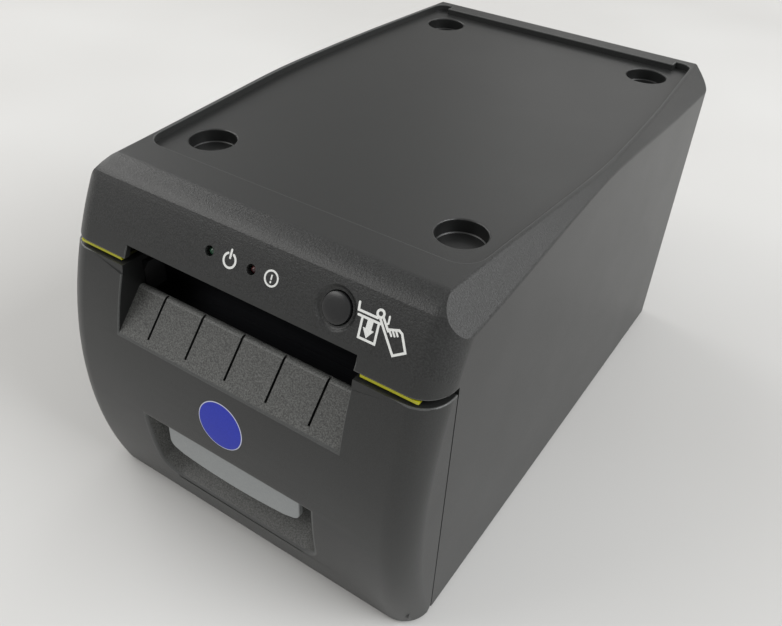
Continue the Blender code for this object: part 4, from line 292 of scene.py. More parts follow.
def turned_up(made, angle, pivot):
    """Turns a piece about the X direction at a (y, z) pivot."""
    there = Matrix.Translation((0, *pivot))
    made.data.transform(there @ Matrix.Rotation(angle, 4, "X") @ there.inverted())
    return made


def front_y(z, inset=0.0):
    return ARC_Y - math.sqrt((FRONT_RADIUS - inset) ** 2 - (z - ARC_Z) ** 2)


def arc(centre, radius, start, end, steps):
    angles = [start + (end - start) * i / steps for i in range(steps + 1)]
    return [(centre[0] + radius * math.cos(a), centre[1] + radius * math.sin(a)) for a in angles]


def case_form(name, inset, bottom, top, back, steps=34):
    """The casing's outer form, or the same form drawn in by an inset."""
    rise = [bottom + (top - bottom) * i / steps for i in range(steps + 1)]
    outline = [(front_y(z, inset), z) for z in rise] + [(back, top), (back, bottom)]
    half = CASE_HALF - inset
    made = bar(name, outline, "X", -half, half)

    def rounded(chosen, radius, segments):
        bm = bmesh.new()
        bm.from_mesh(made.data)
        edges = [e for e in bm.edges if chosen(e.verts[0].co, e.verts[1].co)]
        bmesh.ops.bevel(bm, geom=edges, offset=radius, segments=segments, profile=0.5, affect="EDGES")
        bm.to_mesh(made.data)
        bm.free()

    def at_side(p):
        return abs(abs(p.x) - half) < 1e-6

    def on_front(p):
        return abs(math.hypot(p.y - ARC_Y, p.z - ARC_Z) - (FRONT_RADIUS - inset)) < 1e-6

    def on_top_front(p):
        return abs(p.z - top) < 1e-6 and p.y < front_y(top, inset) + CORNER_RADIUS + 1e-6

    rounded(lambda a, b: at_side(a) and at_side(b) and a.x * b.x > 0 and on_front(a) and on_front(b),
            CORNER_RADIUS - inset, 10)
    rounded(lambda a, b: at_side(a) and at_side(b) and a.x * b.x > 0
            and abs(a.y - back) < 1e-6 and abs(b.y - back) < 1e-6, REAR_CORNER_RADIUS - inset, 8)
    rounded(lambda a, b: on_top_front(a) and on_top_front(b), TOP_EDGE_RADIUS - inset, 9)
    return made


CHAMFER_PLACES = (0.0, 0.20, 0.36, 0.50, 0.62, 0.75, 0.88, 1.0)
CHAMFER_ACROSS = (0.0096, 0.0069, 0.0043, 0.0023, 0.0025, 0.0036, 0.0055, 0.0074)
CHAMFER_DOWN = (0.0112, 0.0080, 0.0045, 0.0022, 0.0036, 0.0060, 0.0076, 0.0084)


def smooth_between(values, share):
    places = CHAMFER_PLACES
    share = min(max(share, places[0]), places[-1])
    i = max(k for k in range(len(places) - 1) if places[k] <= share)
    span = places[i + 1] - places[i]
    t = (share - places[i]) / span

    def slope(k):
        low, high = max(k - 1, 0), min(k + 1, len(places) - 1)
        return (values[high] - values[low]) / (places[high] - places[low]) * span

    return (values[i] * (2 * t ** 3 - 3 * t ** 2 + 1) + slope(i) * (t ** 3 - 2 * t ** 2 + t)
            + values[i + 1] * (3 * t ** 2 - 2 * t ** 3) + slope(i + 1) * (t ** 3 - t ** 2))


def chamfer_at(y):
    share = (y - FRONT_Y) / (BACK_Y - FRONT_Y)
    return smooth_between(CHAMFER_ACROSS, share), smooth_between(CHAMFER_DOWN, share)


def soft_corner(corner, toward_first, toward_second, size, steps=4):
    """Points of a soft corner between two directions."""
    corner = Vector(corner)
    start, end = corner + Vector(toward_first) * size, corner + Vector(toward_second) * size
    return [(1 - t) ** 2 * start + 2 * t * (1 - t) * corner + t ** 2 * end
            for t in (i / steps for i in range(steps + 1))]


def chamfer_wedges(name, steps=44, soft=0.0007):
    """What the bowed chamfers take off at both sides, with their two edges softened."""
    rings = []
    for i in range(-1, steps + 2):
        y = FRONT_Y + (BACK_Y - FRONT_Y) * i / steps
        across, down = chamfer_at(y)
        length = math.hypot(across, down)
        slope = Vector((across / length, 0, -down / length))
        upper, lower = Vector((CASE_HALF - across, y, CASE_TOP)), Vector((CASE_HALF, y, CASE_TOP - down))
        ring = soft_corner(upper, (-1, 0, 0), slope, soft) + soft_corner(lower, -slope, (0, 0, -1), soft)
        ring.append(Vector((CASE_HALF + PAST * 2, y, lower.z - soft)))
        ring.append(Vector((CASE_HALF + PAST * 2, y, CASE_TOP + PAST * 2)))
        ring.append(Vector((upper.x - soft, y, CASE_TOP + PAST * 2)))
        rings.append(ring)
    return both_sides(skin(name, rings))


TRAY_FLOOR = CASE_TOP - 0.0025
CUP_FLOOR, CUP_RADIUS = TRAY_FLOOR - 0.0045, 0.0075
CUP_PLACES = [(side * 0.04525, FRONT_Y + back) for side in (-1, 1) for back in (0.0527, 0.1976)]


def tray_outline():
    """The tray from above: round corners, sides that follow the chamfers and a step at its back."""
    front, back = FRONT_Y + 0.036, BACK_Y - 0.0032
    front_round, back_round, rim = 0.0075, 0.0045, 0.0012
    step_half, step_deep = 0.0515, 0.004

    def side_x(y):
        return CASE_HALF - chamfer_at(y)[0] - rim

    low, high = front + front_round, back - back_round
    right = arc((side_x(low) - front_round, low), front_round, -math.pi / 2, 0, 8)
    right += [(side_x(y), y) for y in (low + (high - low) * i / 32 for i in range(1, 32))]
    right += arc((side_x(high) - back_round, high), back_round, 0, math.pi / 2, 8)
    right += [(step_half, back), (step_half, back - step_deep)]
    return right + [(-x, y) for x, y in reversed(right)]


def grown(outline, by):
    """The outline moved out by a distance, square to its sides."""
    moved = []
    count = len(outline)
    for i in range(count):
        a, b, c = (Vector(outline[(i + k) % count]) for k in (-1, 0, 1))
        first, second = (b - a).normalized(), (c - b).normalized()
        out_a, out_b = Vector((first.y, -first.x)), Vector((second.y, -second.x))
        middle = (out_a + out_b).normalized()
        moved.append(b + middle * (by / max(middle.dot(out_a), 0.4)))
    return moved


def tray_space(name, soft=0.0004):
    outline = tray_outline()
    levels = [(TRAY_FLOOR, 0.0), (CASE_TOP - soft, 0.0)]
    levels += [(CASE_TOP - soft + soft * math.sin(a), soft - soft * math.cos(a))
               for a in (math.pi / 2 * i / 3 for i in range(1, 4))]
    levels.append((CASE_TOP + PAST, soft))
    return skin(name, [[(x, y, z) for x, y in grown(outline, by)] for z, by in levels])


CONTROL_Z = 0.1083
CONTROL_TILT = math.asin((CONTROL_Z - ARC_Z) / FRONT_RADIUS)
BUTTON_X, GREEN_X, RED_X = 0.0316, -0.0112, 0.0037
SLOT_HALF, SLOT_TOP = 0.0412, 0.1002


def at_fascia(made):
    return turned_up(made, -CONTROL_TILT, (ARC_Y, ARC_Z))


def depth_y(depth):
    return ARC_Y - FRONT_RADIUS + depth


def soft_mouth(name, radius, soft, x, depth, steps=48):
    """A round hole in the fascia whose rim is softened."""
    profile = [(0, depth_y(-PAST)), (radius + soft, depth_y(-PAST)), (radius + soft, depth_y(0))]
    profile += [(radius + soft - soft * math.sin(a), depth_y(soft - soft * math.cos(a)))
                for a in (math.pi / 2 * i / 3 for i in range(1, 4))]
    return lathe(name, profile + [(radius, depth_y(depth)), (0, depth_y(depth))], "Y", (x, ARC_Z), steps)


def top_housing():
    shell = case_form("housing_shell", 0.0, FOOT_HEIGHT, CASE_TOP, BACK_Y)
    inside = case_form("housing_inside", WALL, FOOT_HEIGHT - PAST, TRAY_FLOOR - WALL, BACK_Y - WALL)
    inner = CASE_HALF - WALL
    roof = TRAY_FLOOR - WALL
    gusset = 0.008
    carved(inside, [both_sides(bar("roof_gussets", [
        (inner + PAST, roof - gusset - PAST), (inner + PAST, roof + PAST),
        (inner - gusset - PAST, roof + PAST)], "Y", FRONT_Y, BACK_Y))])
    carved(shell, [inside, chamfer_wedges("chamfer_space")])
    walls = [pin("cup_wall", CUP_RADIUS + WALL, "Z", place, CUP_FLOOR - WALL, roof + WALL / 2)
             for place in CUP_PLACES]
    bosses = [pin("housing_boss", 0.0037, "Z", (side * 0.0606, y), 0.0048, 0.0165, 20)
              for side in (-1, 1) for y in (FRONT_Y + 0.0303, BACK_Y - 0.0104)]
    posts = [at_fascia(pin("panel_post", 0.002, "Y", (x, ARC_Z), depth_y(0.001), depth_y(0.0053), 16))
             for x in (-0.0158, 0.0180)]
    carved(shell, walls + bosses + posts, "UNION")
    soft = 0.0006
    cup = [(0, TRAY_FLOOR + PAST), (CUP_RADIUS + soft, TRAY_FLOOR + PAST)]
    cup += [(CUP_RADIUS + soft - soft * math.sin(a), TRAY_FLOOR - soft + soft * math.cos(a))
            for a in (math.pi / 2 * i / 3 for i in range(4))]
    cup += [(CUP_RADIUS, CUP_FLOOR + soft / 2), (CUP_RADIUS - soft / 2, CUP_FLOOR), (0, CUP_FLOOR)]
    cups = [lathe("foot_cup", cup, "Z", place) for place in CUP_PLACES]
    dish = [(radius, depth_y(depth)) for radius, depth in (
        (0, -PAST), (0.0065, -PAST), (0.0065, -0.0001), (0.0062, 0.00010), (0.0059, 0.00035),
        (0.0055, 0.00070), (0.0050, 0.00095), (0, 0.00095))]
    carved(shell, [
        block("door_opening", (-CASE_HALF * 2, FRONT_Y - PAST, -PAST), (CASE_HALF * 2, SEAM_Y, FASCIA_Z)),
        block("slot_notch", (-SLOT_HALF, FRONT_Y, FASCIA_Z - PAST), (SLOT_HALF, FRONT_Y + 0.016, SLOT_TOP)),
        tray_space("tray_space")])
    carved(shell, cups + [
        at_fascia(lathe("button_dish", dish, "Y", (BUTTON_X, ARC_Z), 64)),
        at_fascia(pin("button_hole", 0.00465, "Y", (BUTTON_X, ARC_Z), depth_y(0), depth_y(WALL * 2), 64)),
        at_fascia(soft_mouth("green_hole", 0.0015, 0.00015, GREEN_X, WALL * 2, 32)),
        at_fascia(soft_mouth("red_hole", 0.0015, 0.00015, RED_X, WALL * 2, 32)),
        block("socket_window", (-0.045, BACK_Y - WALL - PAST, 0.010), (0.045, BACK_Y + PAST, 0.036))])
    return shell


def cleaned(made):
    """Joins the points that the carving left beside each other."""
    bm = bmesh.new()
    bm.from_mesh(made.data)
    bmesh.ops.remove_doubles(bm, verts=bm.verts, dist=1e-5)
    bmesh.ops.dissolve_limit(bm, angle_limit=math.radians(0.05), verts=bm.verts, edges=bm.edges)
    bm.to_mesh(made.data)
    bm.free()
    return made


# Places of the finishes on the housing and the door. The third, a paler charcoal on the rounded edges
# and the tray's rim, is a painted edge highlight. The fourth is the roll along the top's front edge on the
# one, and the ramp's crest on the other, where a much paler charcoal is a painted highlight. The fifth,
# nearly black, is painted shade in the foot cups and on the ramp's side walls.
PLAIN, COARSE, EDGE_HIGHLIGHT, ROLL_GRAIN_AND_CREST_HIGHLIGHT, PAINTED_SHADE = range(5)
SHARP = 0.45


def eased_edges(made, radius, chosen, steps=2, highlight_slot=EDGE_HIGHLIGHT):
    """Rounds the chosen sharp edges and gives the rounds the finish in the highlight slot: a paler charcoal,
    painted as an edge highlight.
    """
    bm = bmesh.new()
    bm.from_mesh(made.data)
    edges = [e for e in bm.edges if len(e.link_faces) == 2 and e.calc_face_angle() > SHARP
             and chosen(e.verts[0].co, e.verts[1].co)]
    bmesh.ops.bevel(bm, geom=edges, offset=radius, segments=steps, profile=0.5, affect="EDGES",
                    clamp_overlap=False, material=highlight_slot)
    bm.to_mesh(made.data)
    bm.free()
    return made


def smooth_shaded(made, angle=28.0):
    made.data.shade_smooth()
    made.data.set_sharp_from_angle(angle=math.radians(angle))
    even = made.modifiers.new("even_shading", "WEIGHTED_NORMAL")
    even.keep_sharp = True
    return made


def case_plastic(name, colour, roughness=0.5, grain=0.00035, depth=0.00003, speckle=0.3):
    """Moulded plastic with a spark-eroded grain: paler crests, darker pits, and patches of sheen."""
    finish, shader, add, join = new_finish(name)
    where = add("TexCoord")
    grit = add("TexNoise", Scale=1 / grain, Detail=3.0, Roughness=0.6)
    cloud = add("TexNoise", Scale=45.0, Detail=3.0)
    pit, crest = [c * (1 - speckle * 0.7) for c in colour], [c * (1 + speckle) for c in colour]
    tone = two_tone(add, (0.36, 0.66), pit, crest)
    sheen = add("MapRange", From_Min=0.3, From_Max=0.7, To_Min=roughness - 0.012, To_Max=roughness + 0.012)
    bump = add("Bump", Strength=1.0, Distance=depth)
    for noise in (grit, cloud):
        join(where, "Object", noise, "Vector")
    join(grit, "Fac", tone, "Fac")
    join(tone, "Color", shader, "Base Color")
    join(cloud, "Fac", sheen, "Value")
    join(sheen, "Result", shader, "Roughness")
    join(grit, "Fac", bump, "Height")
    join(bump, "Normal", shader, "Normal")
    return finish


CHARCOAL = (0.0154, 0.0161, 0.0158)
fine_grain = case_plastic("charcoal_fine_grain", CHARCOAL, 0.36)
coarse_grain = case_plastic("charcoal_coarse_grain", (0.060, 0.061, 0.058), 0.50, 0.00045, 0.00012, 0.8)
# A paler charcoal for rounded edges and the tray's rim: a painted edge highlight.
painted_edge_highlight = case_plastic("charcoal_worn_edge", (0.054, 0.056, 0.055), 0.34, 0.0003, 0.00001, 0.3)
roll_grain = case_plastic("charcoal_roll_grain", (0.0130, 0.0136, 0.0134), 0.37, 0.00050, 0.00011, 0.7)
# Nearly black charcoal for the foot cups and the ramp's side walls: painted shade.
painted_recess_shade = case_plastic("charcoal_painted_recess_shade", (0.0060, 0.0064, 0.0063), 0.42, 0.0003, 0.00001, 0.3)


def all_at(place, *values):
    return all(abs(value - place) < 1e-5 for value in values)


def on_outer_skin(p, slack=2e-5):
    """True where a point lies on the casing's bowed front, a side, the back or the top."""
    off_bow = math.hypot(p.y - ARC_Y, p.z - ARC_Z) - FRONT_RADIUS
    return (abs(off_bow) < slack or abs(abs(p.x) - CASE_HALF) < slack
            or abs(p.y - BACK_Y) < slack or abs(p.z - CASE_TOP) < slack)


def in_front_corner(p):
    """True for points of the rounded corners between the bowed front and the sides."""
    return CASE_HALF - CORNER_RADIUS - 1e-4 < abs(p.x) < CASE_HALF + 1e-5 and p.y < SEAM_Y


housing = cleaned(top_housing())
for finish in (fine_grain, coarse_grain, painted_edge_highlight, roll_grain, painted_recess_shade):
    housing.data.materials.append(finish)
eased_edges(housing, 0.00045, lambda a, b: all_at(FASCIA_Z, a.z, b.z)
            and all(on_outer_skin(p) or in_front_corner(p) for p in (a, b)), 3)
eased_edges(housing, 0.00035, lambda a, b: all_at(SLOT_HALF, abs(a.x), abs(b.x)) and a.x * b.x > 0
            and all(on_outer_skin(p, 4e-5) and p.z < SLOT_TOP + 1e-5 for p in (a, b)))
eased_edges(housing, 0.0007, lambda a, b: all_at(SLOT_TOP, a.z, b.z)
            and all(on_outer_skin(p, 4e-5) and abs(p.x) < SLOT_HALF + 1e-5 for p in (a, b)), 1)
eased_edges(housing, 0.0003, lambda a, b: all_at(SEAM_Y, a.y, b.y)
            and min(abs(a.x), abs(b.x)) > CASE_HALF - 1e-5 and max(a.z, b.z) < FASCIA_Z - 4e-4)
eased_edges(housing, 0.0006, lambda a, b: all_at(CASE_TOP, a.z, b.z) and all_at(BACK_Y, a.y, b.y), 3)
ABOVE_CONTROLS, ROLL_END_Y = 0.1, -0.08
for face in housing.data.polygons:
    middle, facing = face.center, face.normal
    high_up = middle.z > ABOVE_CONTROLS
    if high_up and 0.05 < facing.z < 0.985 and face.material_index != EDGE_HIGHLIGHT and on_outer_skin(middle, 0.006):
        face.material_index = ROLL_GRAIN_AND_CREST_HIGHLIGHT if middle.y < ROLL_END_Y or abs(facing.x) > 0.3 else PLAIN
    # Faces of the tray's soft rim get the paler charcoal, a painted highlight line.
    on_rim = CASE_TOP - 0.0005 < middle.z < CASE_TOP - 1e-6 and FRONT_Y + 0.033 < middle.y < BACK_Y - 0.0022
    if on_rim and abs(middle.x) < CASE_HALF - chamfer_at(middle.y)[0] - 0.0006:
        face.material_index = EDGE_HIGHLIGHT
    # Cup walls and floors below the tray are painted nearly black as shade.
    in_cup = any(math.dist(middle[:2], cup) < CUP_RADIUS + 0.0003 for cup in CUP_PLACES)
    if in_cup and high_up and middle.z < TRAY_FLOOR - 7e-4:
        face.material_index = PAINTED_SHADE
smooth_shaded(housing)
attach(housing, "base")
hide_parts("top_housing")


# Front door: the bowed cover under the fascia, in the same plastic, hinged at its lower corners.
# It carries the exit ramp, with its crest and grooves, and the scoop of the finger recess.
DOOR_BOTTOM = FOOT_HEIGHT - 0.0005
DOOR_BACK_Y = FRONT_Y + 0.0189
RAMP_HALF = 0.0416
RAMP_FOOT_Z = 0.072
RAMP_FOOT_Y = front_y(RAMP_FOOT_Z)
CREST_Y, CREST_Z, CREST_RADIUS = FRONT_Y + 0.01285, 0.0843, 0.0017
RAMP_BACK_Y = FRONT_Y + 0.01515
RAMP_ANGLE = math.atan2(CREST_Z - RAMP_FOOT_Z, CREST_Y - RAMP_FOOT_Y)
RAMP_LENGTH = math.hypot(CREST_Z - RAMP_FOOT_Z, CREST_Y - RAMP_FOOT_Y)
RECESS_HALF, RECESS_LOW, RECESS_HIGH, RECESS_DEPTH = 0.0333, 0.016, 0.044, 0.0143
HINGE_Y, HINGE_Z = FRONT_Y + 0.01235, 0.0065
LEVER_Y, LEVER_Z, LEVER_HALF = -0.104, 0.0472, 0.0268
BADGE_TILT = math.asin((0.0585 - ARC_Z) / FRONT_RADIUS)


def recess_form(name, extra):
    high = RECESS_HIGH + extra
    rings = []
    for y in (FRONT_Y - PAST, FRONT_Y + RECESS_DEPTH + extra):
        half = RECESS_HALF + extra - 0.005 * (y - FRONT_Y) / RECESS_DEPTH
        low = RECESS_LOW - extra + 0.010 * (y - front_y(RECESS_LOW)) / RECESS_DEPTH
        radius = 0.007 + extra / 2
        ring = [(half, high), (half, low + radius)]
        ring += arc((half - radius, low + radius), radius, 0, -math.pi / 2, 8)[1:]
        ring += [(-x, z) for x, z in reversed(ring)]
        rings.append([(x, y, z) for x, z in ring])
    return skin(name, rings)


def ramp_space(name):
    crest = arc((CREST_Y + CREST_RADIUS / 2, CREST_Z - CREST_RADIUS), CREST_RADIUS,
                math.pi / 2 + RAMP_ANGLE, math.pi / 4, 8)
    outline = [(RAMP_FOOT_Y, RAMP_FOOT_Z)] + crest
    outline += [(RAMP_BACK_Y, CREST_Z - CREST_RADIUS), (DOOR_BACK_Y + PAST, CREST_Z - CREST_RADIUS)]
    outline += [(DOOR_BACK_Y + PAST, DOOR_TOP + PAST), (FRONT_Y - PAST, DOOR_TOP + PAST)]
    return bar(name, outline + [(FRONT_Y - PAST, RAMP_FOOT_Z)], "X", -RAMP_HALF, RAMP_HALF)


def ramp_grooves():
    """Five narrow grooves at an even pitch, from a little above the ramp's foot to its crest."""
    pitch, start = 0.0152, RAMP_LENGTH * 0.16
    edge = [(0.00048, 0.0004), (0.00038, -0.0001), (0.00035, -0.0013)]
    made = []
    for x in (pitch * i for i in (-2, -1, 0, 1, 2)):
        profile = [(x - half, v) for half, v in edge] + [(x + half, v) for half, v in reversed(edge)]
        groove = bar("ramp_groove", [(u, RAMP_FOOT_Z + v) for u, v in profile], "Y",
                     RAMP_FOOT_Y + start, RAMP_FOOT_Y + RAMP_LENGTH + PAST)
        made.append(turned_up(groove, RAMP_ANGLE, (RAMP_FOOT_Y, RAMP_FOOT_Z)))
    return made


def front_door():
    door = case_form("door_cover", 0.0, DOOR_BOTTOM, CASE_TOP, BACK_Y)
    inside = case_form("door_inside", WALL, DOOR_BOTTOM + WALL, CASE_TOP + PAST, BACK_Y)
    carved(inside, [block("door_top_wall", (-CASE_HALF * 2, FRONT_Y - PAST, DOOR_TOP - WALL),
                          (CASE_HALF * 2, BACK_Y + PAST, CASE_TOP + PAST * 2))])
    carved(door, [inside])
    under = WALL / math.sin(RAMP_ANGLE)
    jambs = bar("ramp_walls", [
        (RAMP_FOOT_Y + WALL / 2, RAMP_FOOT_Z - under - WALL), (RAMP_BACK_Y, CREST_Z - under),
        (RAMP_BACK_Y, DOOR_TOP - WALL / 2), (front_y(DOOR_TOP, WALL / 2), DOOR_TOP - WALL / 2),
        (front_y(CREST_Z, WALL / 2), CREST_Z)], "X", -RAMP_HALF - WALL, RAMP_HALF + WALL)
    post_places = [(side * 0.0385, z) for side in (-1, 1) for z in (0.020, 0.0545)]
    liner_posts = [pin("liner_post", 0.003, "Y", (x, z), front_y(z, WALL / 2), FRONT_Y + 0.01865, 20)
                   for x, z in post_places]
    knuckles = both_sides(pin("hinge_knuckle", 0.0032, "X", (HINGE_Y, HINGE_Z), 0.058, 0.0637, 20))
    ear = 0.0031
    lever_ears = both_sides(block("lever_ears", (0.0278, front_y(LEVER_Z, WALL / 2), LEVER_Z - ear),
                                  (0.0308, LEVER_Y + ear, LEVER_Z + ear)))
    scoop = recess_form("recess_walls", WALL)
    carved(scoop, [case_form("recess_trim", WALL / 2, DOOR_BOTTOM, CASE_TOP, BACK_Y)], "INTERSECT")
    carved(door, [jambs, scoop, knuckles, lever_ears] + liner_posts, "UNION")
    sweep = 0.0189 - 0.01235 + GAP
    beyond = HINGE_Y + sweep * 2
    swept = arc((HINGE_Y, HINGE_Z), sweep, 0, -math.pi / 2, 8)
    swept += [(HINGE_Y, -sweep), (beyond, -sweep), (beyond, HINGE_Z)]
    plan = arc((CASE_HALF - CORNER_RADIUS, front_y(DOOR_BOTTOM) + CORNER_RADIUS), CORNER_RADIUS - WALL,
               -math.radians(80), 0, 8) + [(CASE_HALF - WALL, DOOR_BACK_Y + PAST)]
    slot_half = LEVER_HALF + 0.0008
    far_corner = (CASE_HALF * 2, BACK_Y + PAST, CASE_TOP + PAST)
    seat = pin("badge_seat", 0.00856, "Y", (0, ARC_Z), depth_y(-PAST), depth_y(0.0013), 96)
    carved(door, [
        block("above_door", (-CASE_HALF * 2, FRONT_Y - PAST, DOOR_TOP), far_corner),
        block("behind_door", (-CASE_HALF * 2, DOOR_BACK_Y, -PAST), far_corner),
        bar("under_door", plan + [(-x, y) for x, y in reversed(plan)], "Z", -PAST, DOOR_BOTTOM + WALL),
        both_sides(bar("swept_corners", swept, "X", 0.061, CASE_HALF * 2))])
    carved(door, [
        ramp_space("ramp_space"), recess_form("finger_recess", 0.0),
        block("lever_slot", (-slot_half, front_y(RECESS_HIGH, WALL), RECESS_HIGH - WALL),
              (slot_half, front_y(RECESS_HIGH, WALL) + 0.0052, LEVER_Z + ear)),
        turned_up(seat, -BADGE_TILT, (ARC_Y, ARC_Z))] + [
        pin("liner_post_bore", 0.0014, "Y", place, FRONT_Y + 0.00895, FRONT_Y + 0.0225, 16)
        for place in post_places])
    return carved(door, ramp_grooves())


# Ramp crest: a much paler charcoal on the faces that face up, a painted highlight.
painted_crest_highlight = case_plastic("charcoal_crest_grain", (0.100, 0.102, 0.098), 0.50, 0.00045, 0.00012, 0.6)
door = cleaned(front_door())
for finish in (fine_grain, coarse_grain, painted_edge_highlight, painted_crest_highlight, painted_recess_shade):
    door.data.materials.append(finish)


def round_recess(p):
    return abs(p.x) < RECESS_HALF + 2e-5 and RECESS_LOW - 2e-5 < p.z < RECESS_HIGH + 2e-5 and on_outer_skin(p)


def round_ramp(p):
    return abs(p.x) < RAMP_HALF + 2e-5 and RAMP_FOOT_Z - 2e-5 < p.z < DOOR_TOP - 1e-4 and on_outer_skin(p)


eased_edges(door, 0.0010, lambda a, b: round_recess(a) and round_recess(b), 3)
eased_edges(door, 0.0005, lambda a, b: round_ramp(a) and round_ramp(b))
eased_edges(door, 0.0004, lambda a, b: all_at(DOOR_TOP, a.z, b.z) and min(abs(a.x), abs(b.x)) > RAMP_HALF + 5e-4
            and all(on_outer_skin(p) or in_front_corner(p) for p in (a, b)), 3)
eased_edges(door, 0.0003, lambda a, b: all_at(DOOR_BACK_Y, a.y, b.y)
            and min(abs(a.x), abs(b.x)) > CASE_HALF - 1e-5 and max(a.z, b.z) < DOOR_TOP - 4e-4)
for face in door.data.polygons:
    middle = face.center
    if face.material_index == EDGE_HIGHLIGHT or middle.y <= front_y(middle.z) + 0.0004:
        continue
    on_ramp = (abs(middle.x) < RAMP_HALF + 3e-4 and RAMP_FOOT_Z - 5e-4 < middle.z < DOOR_TOP
               and middle.y < RAMP_BACK_Y + 1e-3)
    in_recess = (abs(middle.x) < RECESS_HALF + 5e-4 and RECESS_LOW - 5e-4 < middle.z < RECESS_HIGH + 5e-4
                 and middle.y < FRONT_Y + RECESS_DEPTH + 2e-4)
    # The ramp's side walls are painted nearly black as shade.
    if on_ramp and abs(face.normal.x) > 0.7:
        face.material_index = PAINTED_SHADE
    # Crest faces that face up are painted paler as a highlight.
    elif on_ramp and face.normal.z > math.cos(RAMP_ANGLE) + 0.03:
        face.material_index = ROLL_GRAIN_AND_CREST_HIGHLIGHT
    elif on_ramp or in_recess:
        face.material_index = COARSE
smooth_shaded(door)
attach(door, "door")
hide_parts("front_door")


# Badge: a thin printed disc glued into a shallow round seat between the slot and the recess.
# It follows the bow of the door; the print is a plain blue field inside a fine pale rim.
BADGE_RADIUS, BADGE_THICK = 0.0085, 0.0006


def badge_print():
    """Blue field with a pale rim, drawn by the distance from the disc's middle."""
    finish, shader, add, join = new_finish("badge_print")
    shader.inputs["Specular IOR Level"].default_value = 0.25
    where = add("TexCoord")
    along = add("Mapping", Location=badge_middle * -1)
    reach = add("VectorMath")
    reach.operation = "LENGTH"
    fibre = add("TexNoise", Scale=2200.0)
    field = two_tone(add, (0.3, 0.7), (0.012, 0.024, 0.36), (0.018, 0.034, 0.42))
    share = add("Math")
    share.operation = "DIVIDE"
    share.inputs[1].default_value = BADGE_RADIUS
    rim = add("ValToRGB")
    rim.color_ramp.elements[0].position = 0.955
    rim.color_ramp.elements[1].position = 0.964
    rim.color_ramp.elements.new(0.990).color = (1, 1, 1, 1)
    rim.color_ramp.elements.new(0.997).color = (0, 0, 0, 1)
    blend = add("Mix")
    blend.data_type = "RGBA"
    blend.inputs["B"].default_value = (0.56, 0.58, 0.66, 1)
    for target in (along, fibre):
        join(where, "Object", target, "Vector")
    join(along, "Vector", reach, 0)
    join(reach, "Value", share, 0)
    join(share, "Value", rim, "Fac")
    join(fibre, "Fac", field, "Fac")
    join(field, "Color", blend, "A")
    join(rim, "Color", blend, "Factor")
    join(blend, "Result", shader, "Base Color")
    roughened(add, join, shader, fibre, 0.30, 0.42, 0.000006)
    return finish


def on_door_bow(radius, angle, depth):
    """A point of the badge, by its distance from the middle and its depth under the door's face."""
    turn = BADGE_TILT + radius * math.sin(angle) / FRONT_RADIUS
    reach = FRONT_RADIUS - depth
    return Vector((radius * math.cos(angle), ARC_Y - reach * math.cos(turn), ARC_Z + reach * math.sin(turn)))


badge_middle = on_door_bow(0, 0, 0)
badge_profile = [(0.001, 0.0), (0.003, 0.0), (0.005, 0.0), (0.007, 0.0), (BADGE_RADIUS - 0.0002, 0.0),
                 (BADGE_RADIUS - 0.00005, 0.00004), (BADGE_RADIUS, 0.00015), (BADGE_RADIUS, BADGE_THICK),
                 (0.005, BADGE_THICK), (0.001, BADGE_THICK)]
badge = skin("badge_disc", [[on_door_bow(radius, 2 * math.pi * i / 96, depth) for i in range(96)]
                            for radius, depth in badge_profile])
badge.data.materials.append(badge_print())
smooth_shaded(badge)
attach(badge, "door")
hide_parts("badge")


# Release lever: a pale grey plate that hangs behind the recess, moulded with its knuckle and arm.
# Its lower edge is bowed, and its two ends are rounded where a finger pulls it.
LEVER_THICK, LEVER_LOW, LEVER_LIFT, LEVER_END = 0.002, 0.0294, 0.0021, 0.0035
LEVER_FACE_Y = FRONT_Y + 0.003


def release_lever():
    ends = arc((LEVER_HALF - LEVER_END, LEVER_LOW + LEVER_LIFT + LEVER_END), LEVER_END,
               0, -math.radians(80), 10)
    bow = [(LEVER_HALF * share, LEVER_LOW + LEVER_LIFT * share ** 2)
           for share in (0.78, 0.66, 0.54, 0.42, 0.30, 0.20, 0.10, 0.0)]
    half = [(LEVER_HALF, LEVER_Z)] + ends + bow
    plate = bar("lever_plate", half + [(-x, z) for x, z in reversed(half[:-1])], "Y", LEVER_FACE_Y,
                LEVER_FACE_Y + LEVER_THICK)
    eased_edges(plate, 0.0005, lambda a, b: a.z < LEVER_Z - 1e-4 or b.z < LEVER_Z - 1e-4, 3, 0)
    knuckle = pin("lever_knuckle", 0.0017, "X", (LEVER_Y, LEVER_Z), -LEVER_HALF, LEVER_HALF, 32)
    arm_low = LEVER_Y + 0.0017 - LEVER_THICK
    arm = block("lever_arm", (-0.004, arm_low, LEVER_Z), (0.004, arm_low + LEVER_THICK, 0.061))
    pivot = pin("lever_pivot", 0.0011, "X", (LEVER_Y, LEVER_Z), -0.0288, 0.0288, 24)
    return carved(plate, [knuckle, arm, pivot], "UNION")


lever = smooth_shaded(cleaned(release_lever()))
lever_grey = case_plastic("lever_grey_plastic", (0.258, 0.270, 0.272), 0.44, 0.0006, 0.000006, 0.05)
lever.data.materials.append(lever_grey)
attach(lever, "lever")
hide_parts("release_lever")


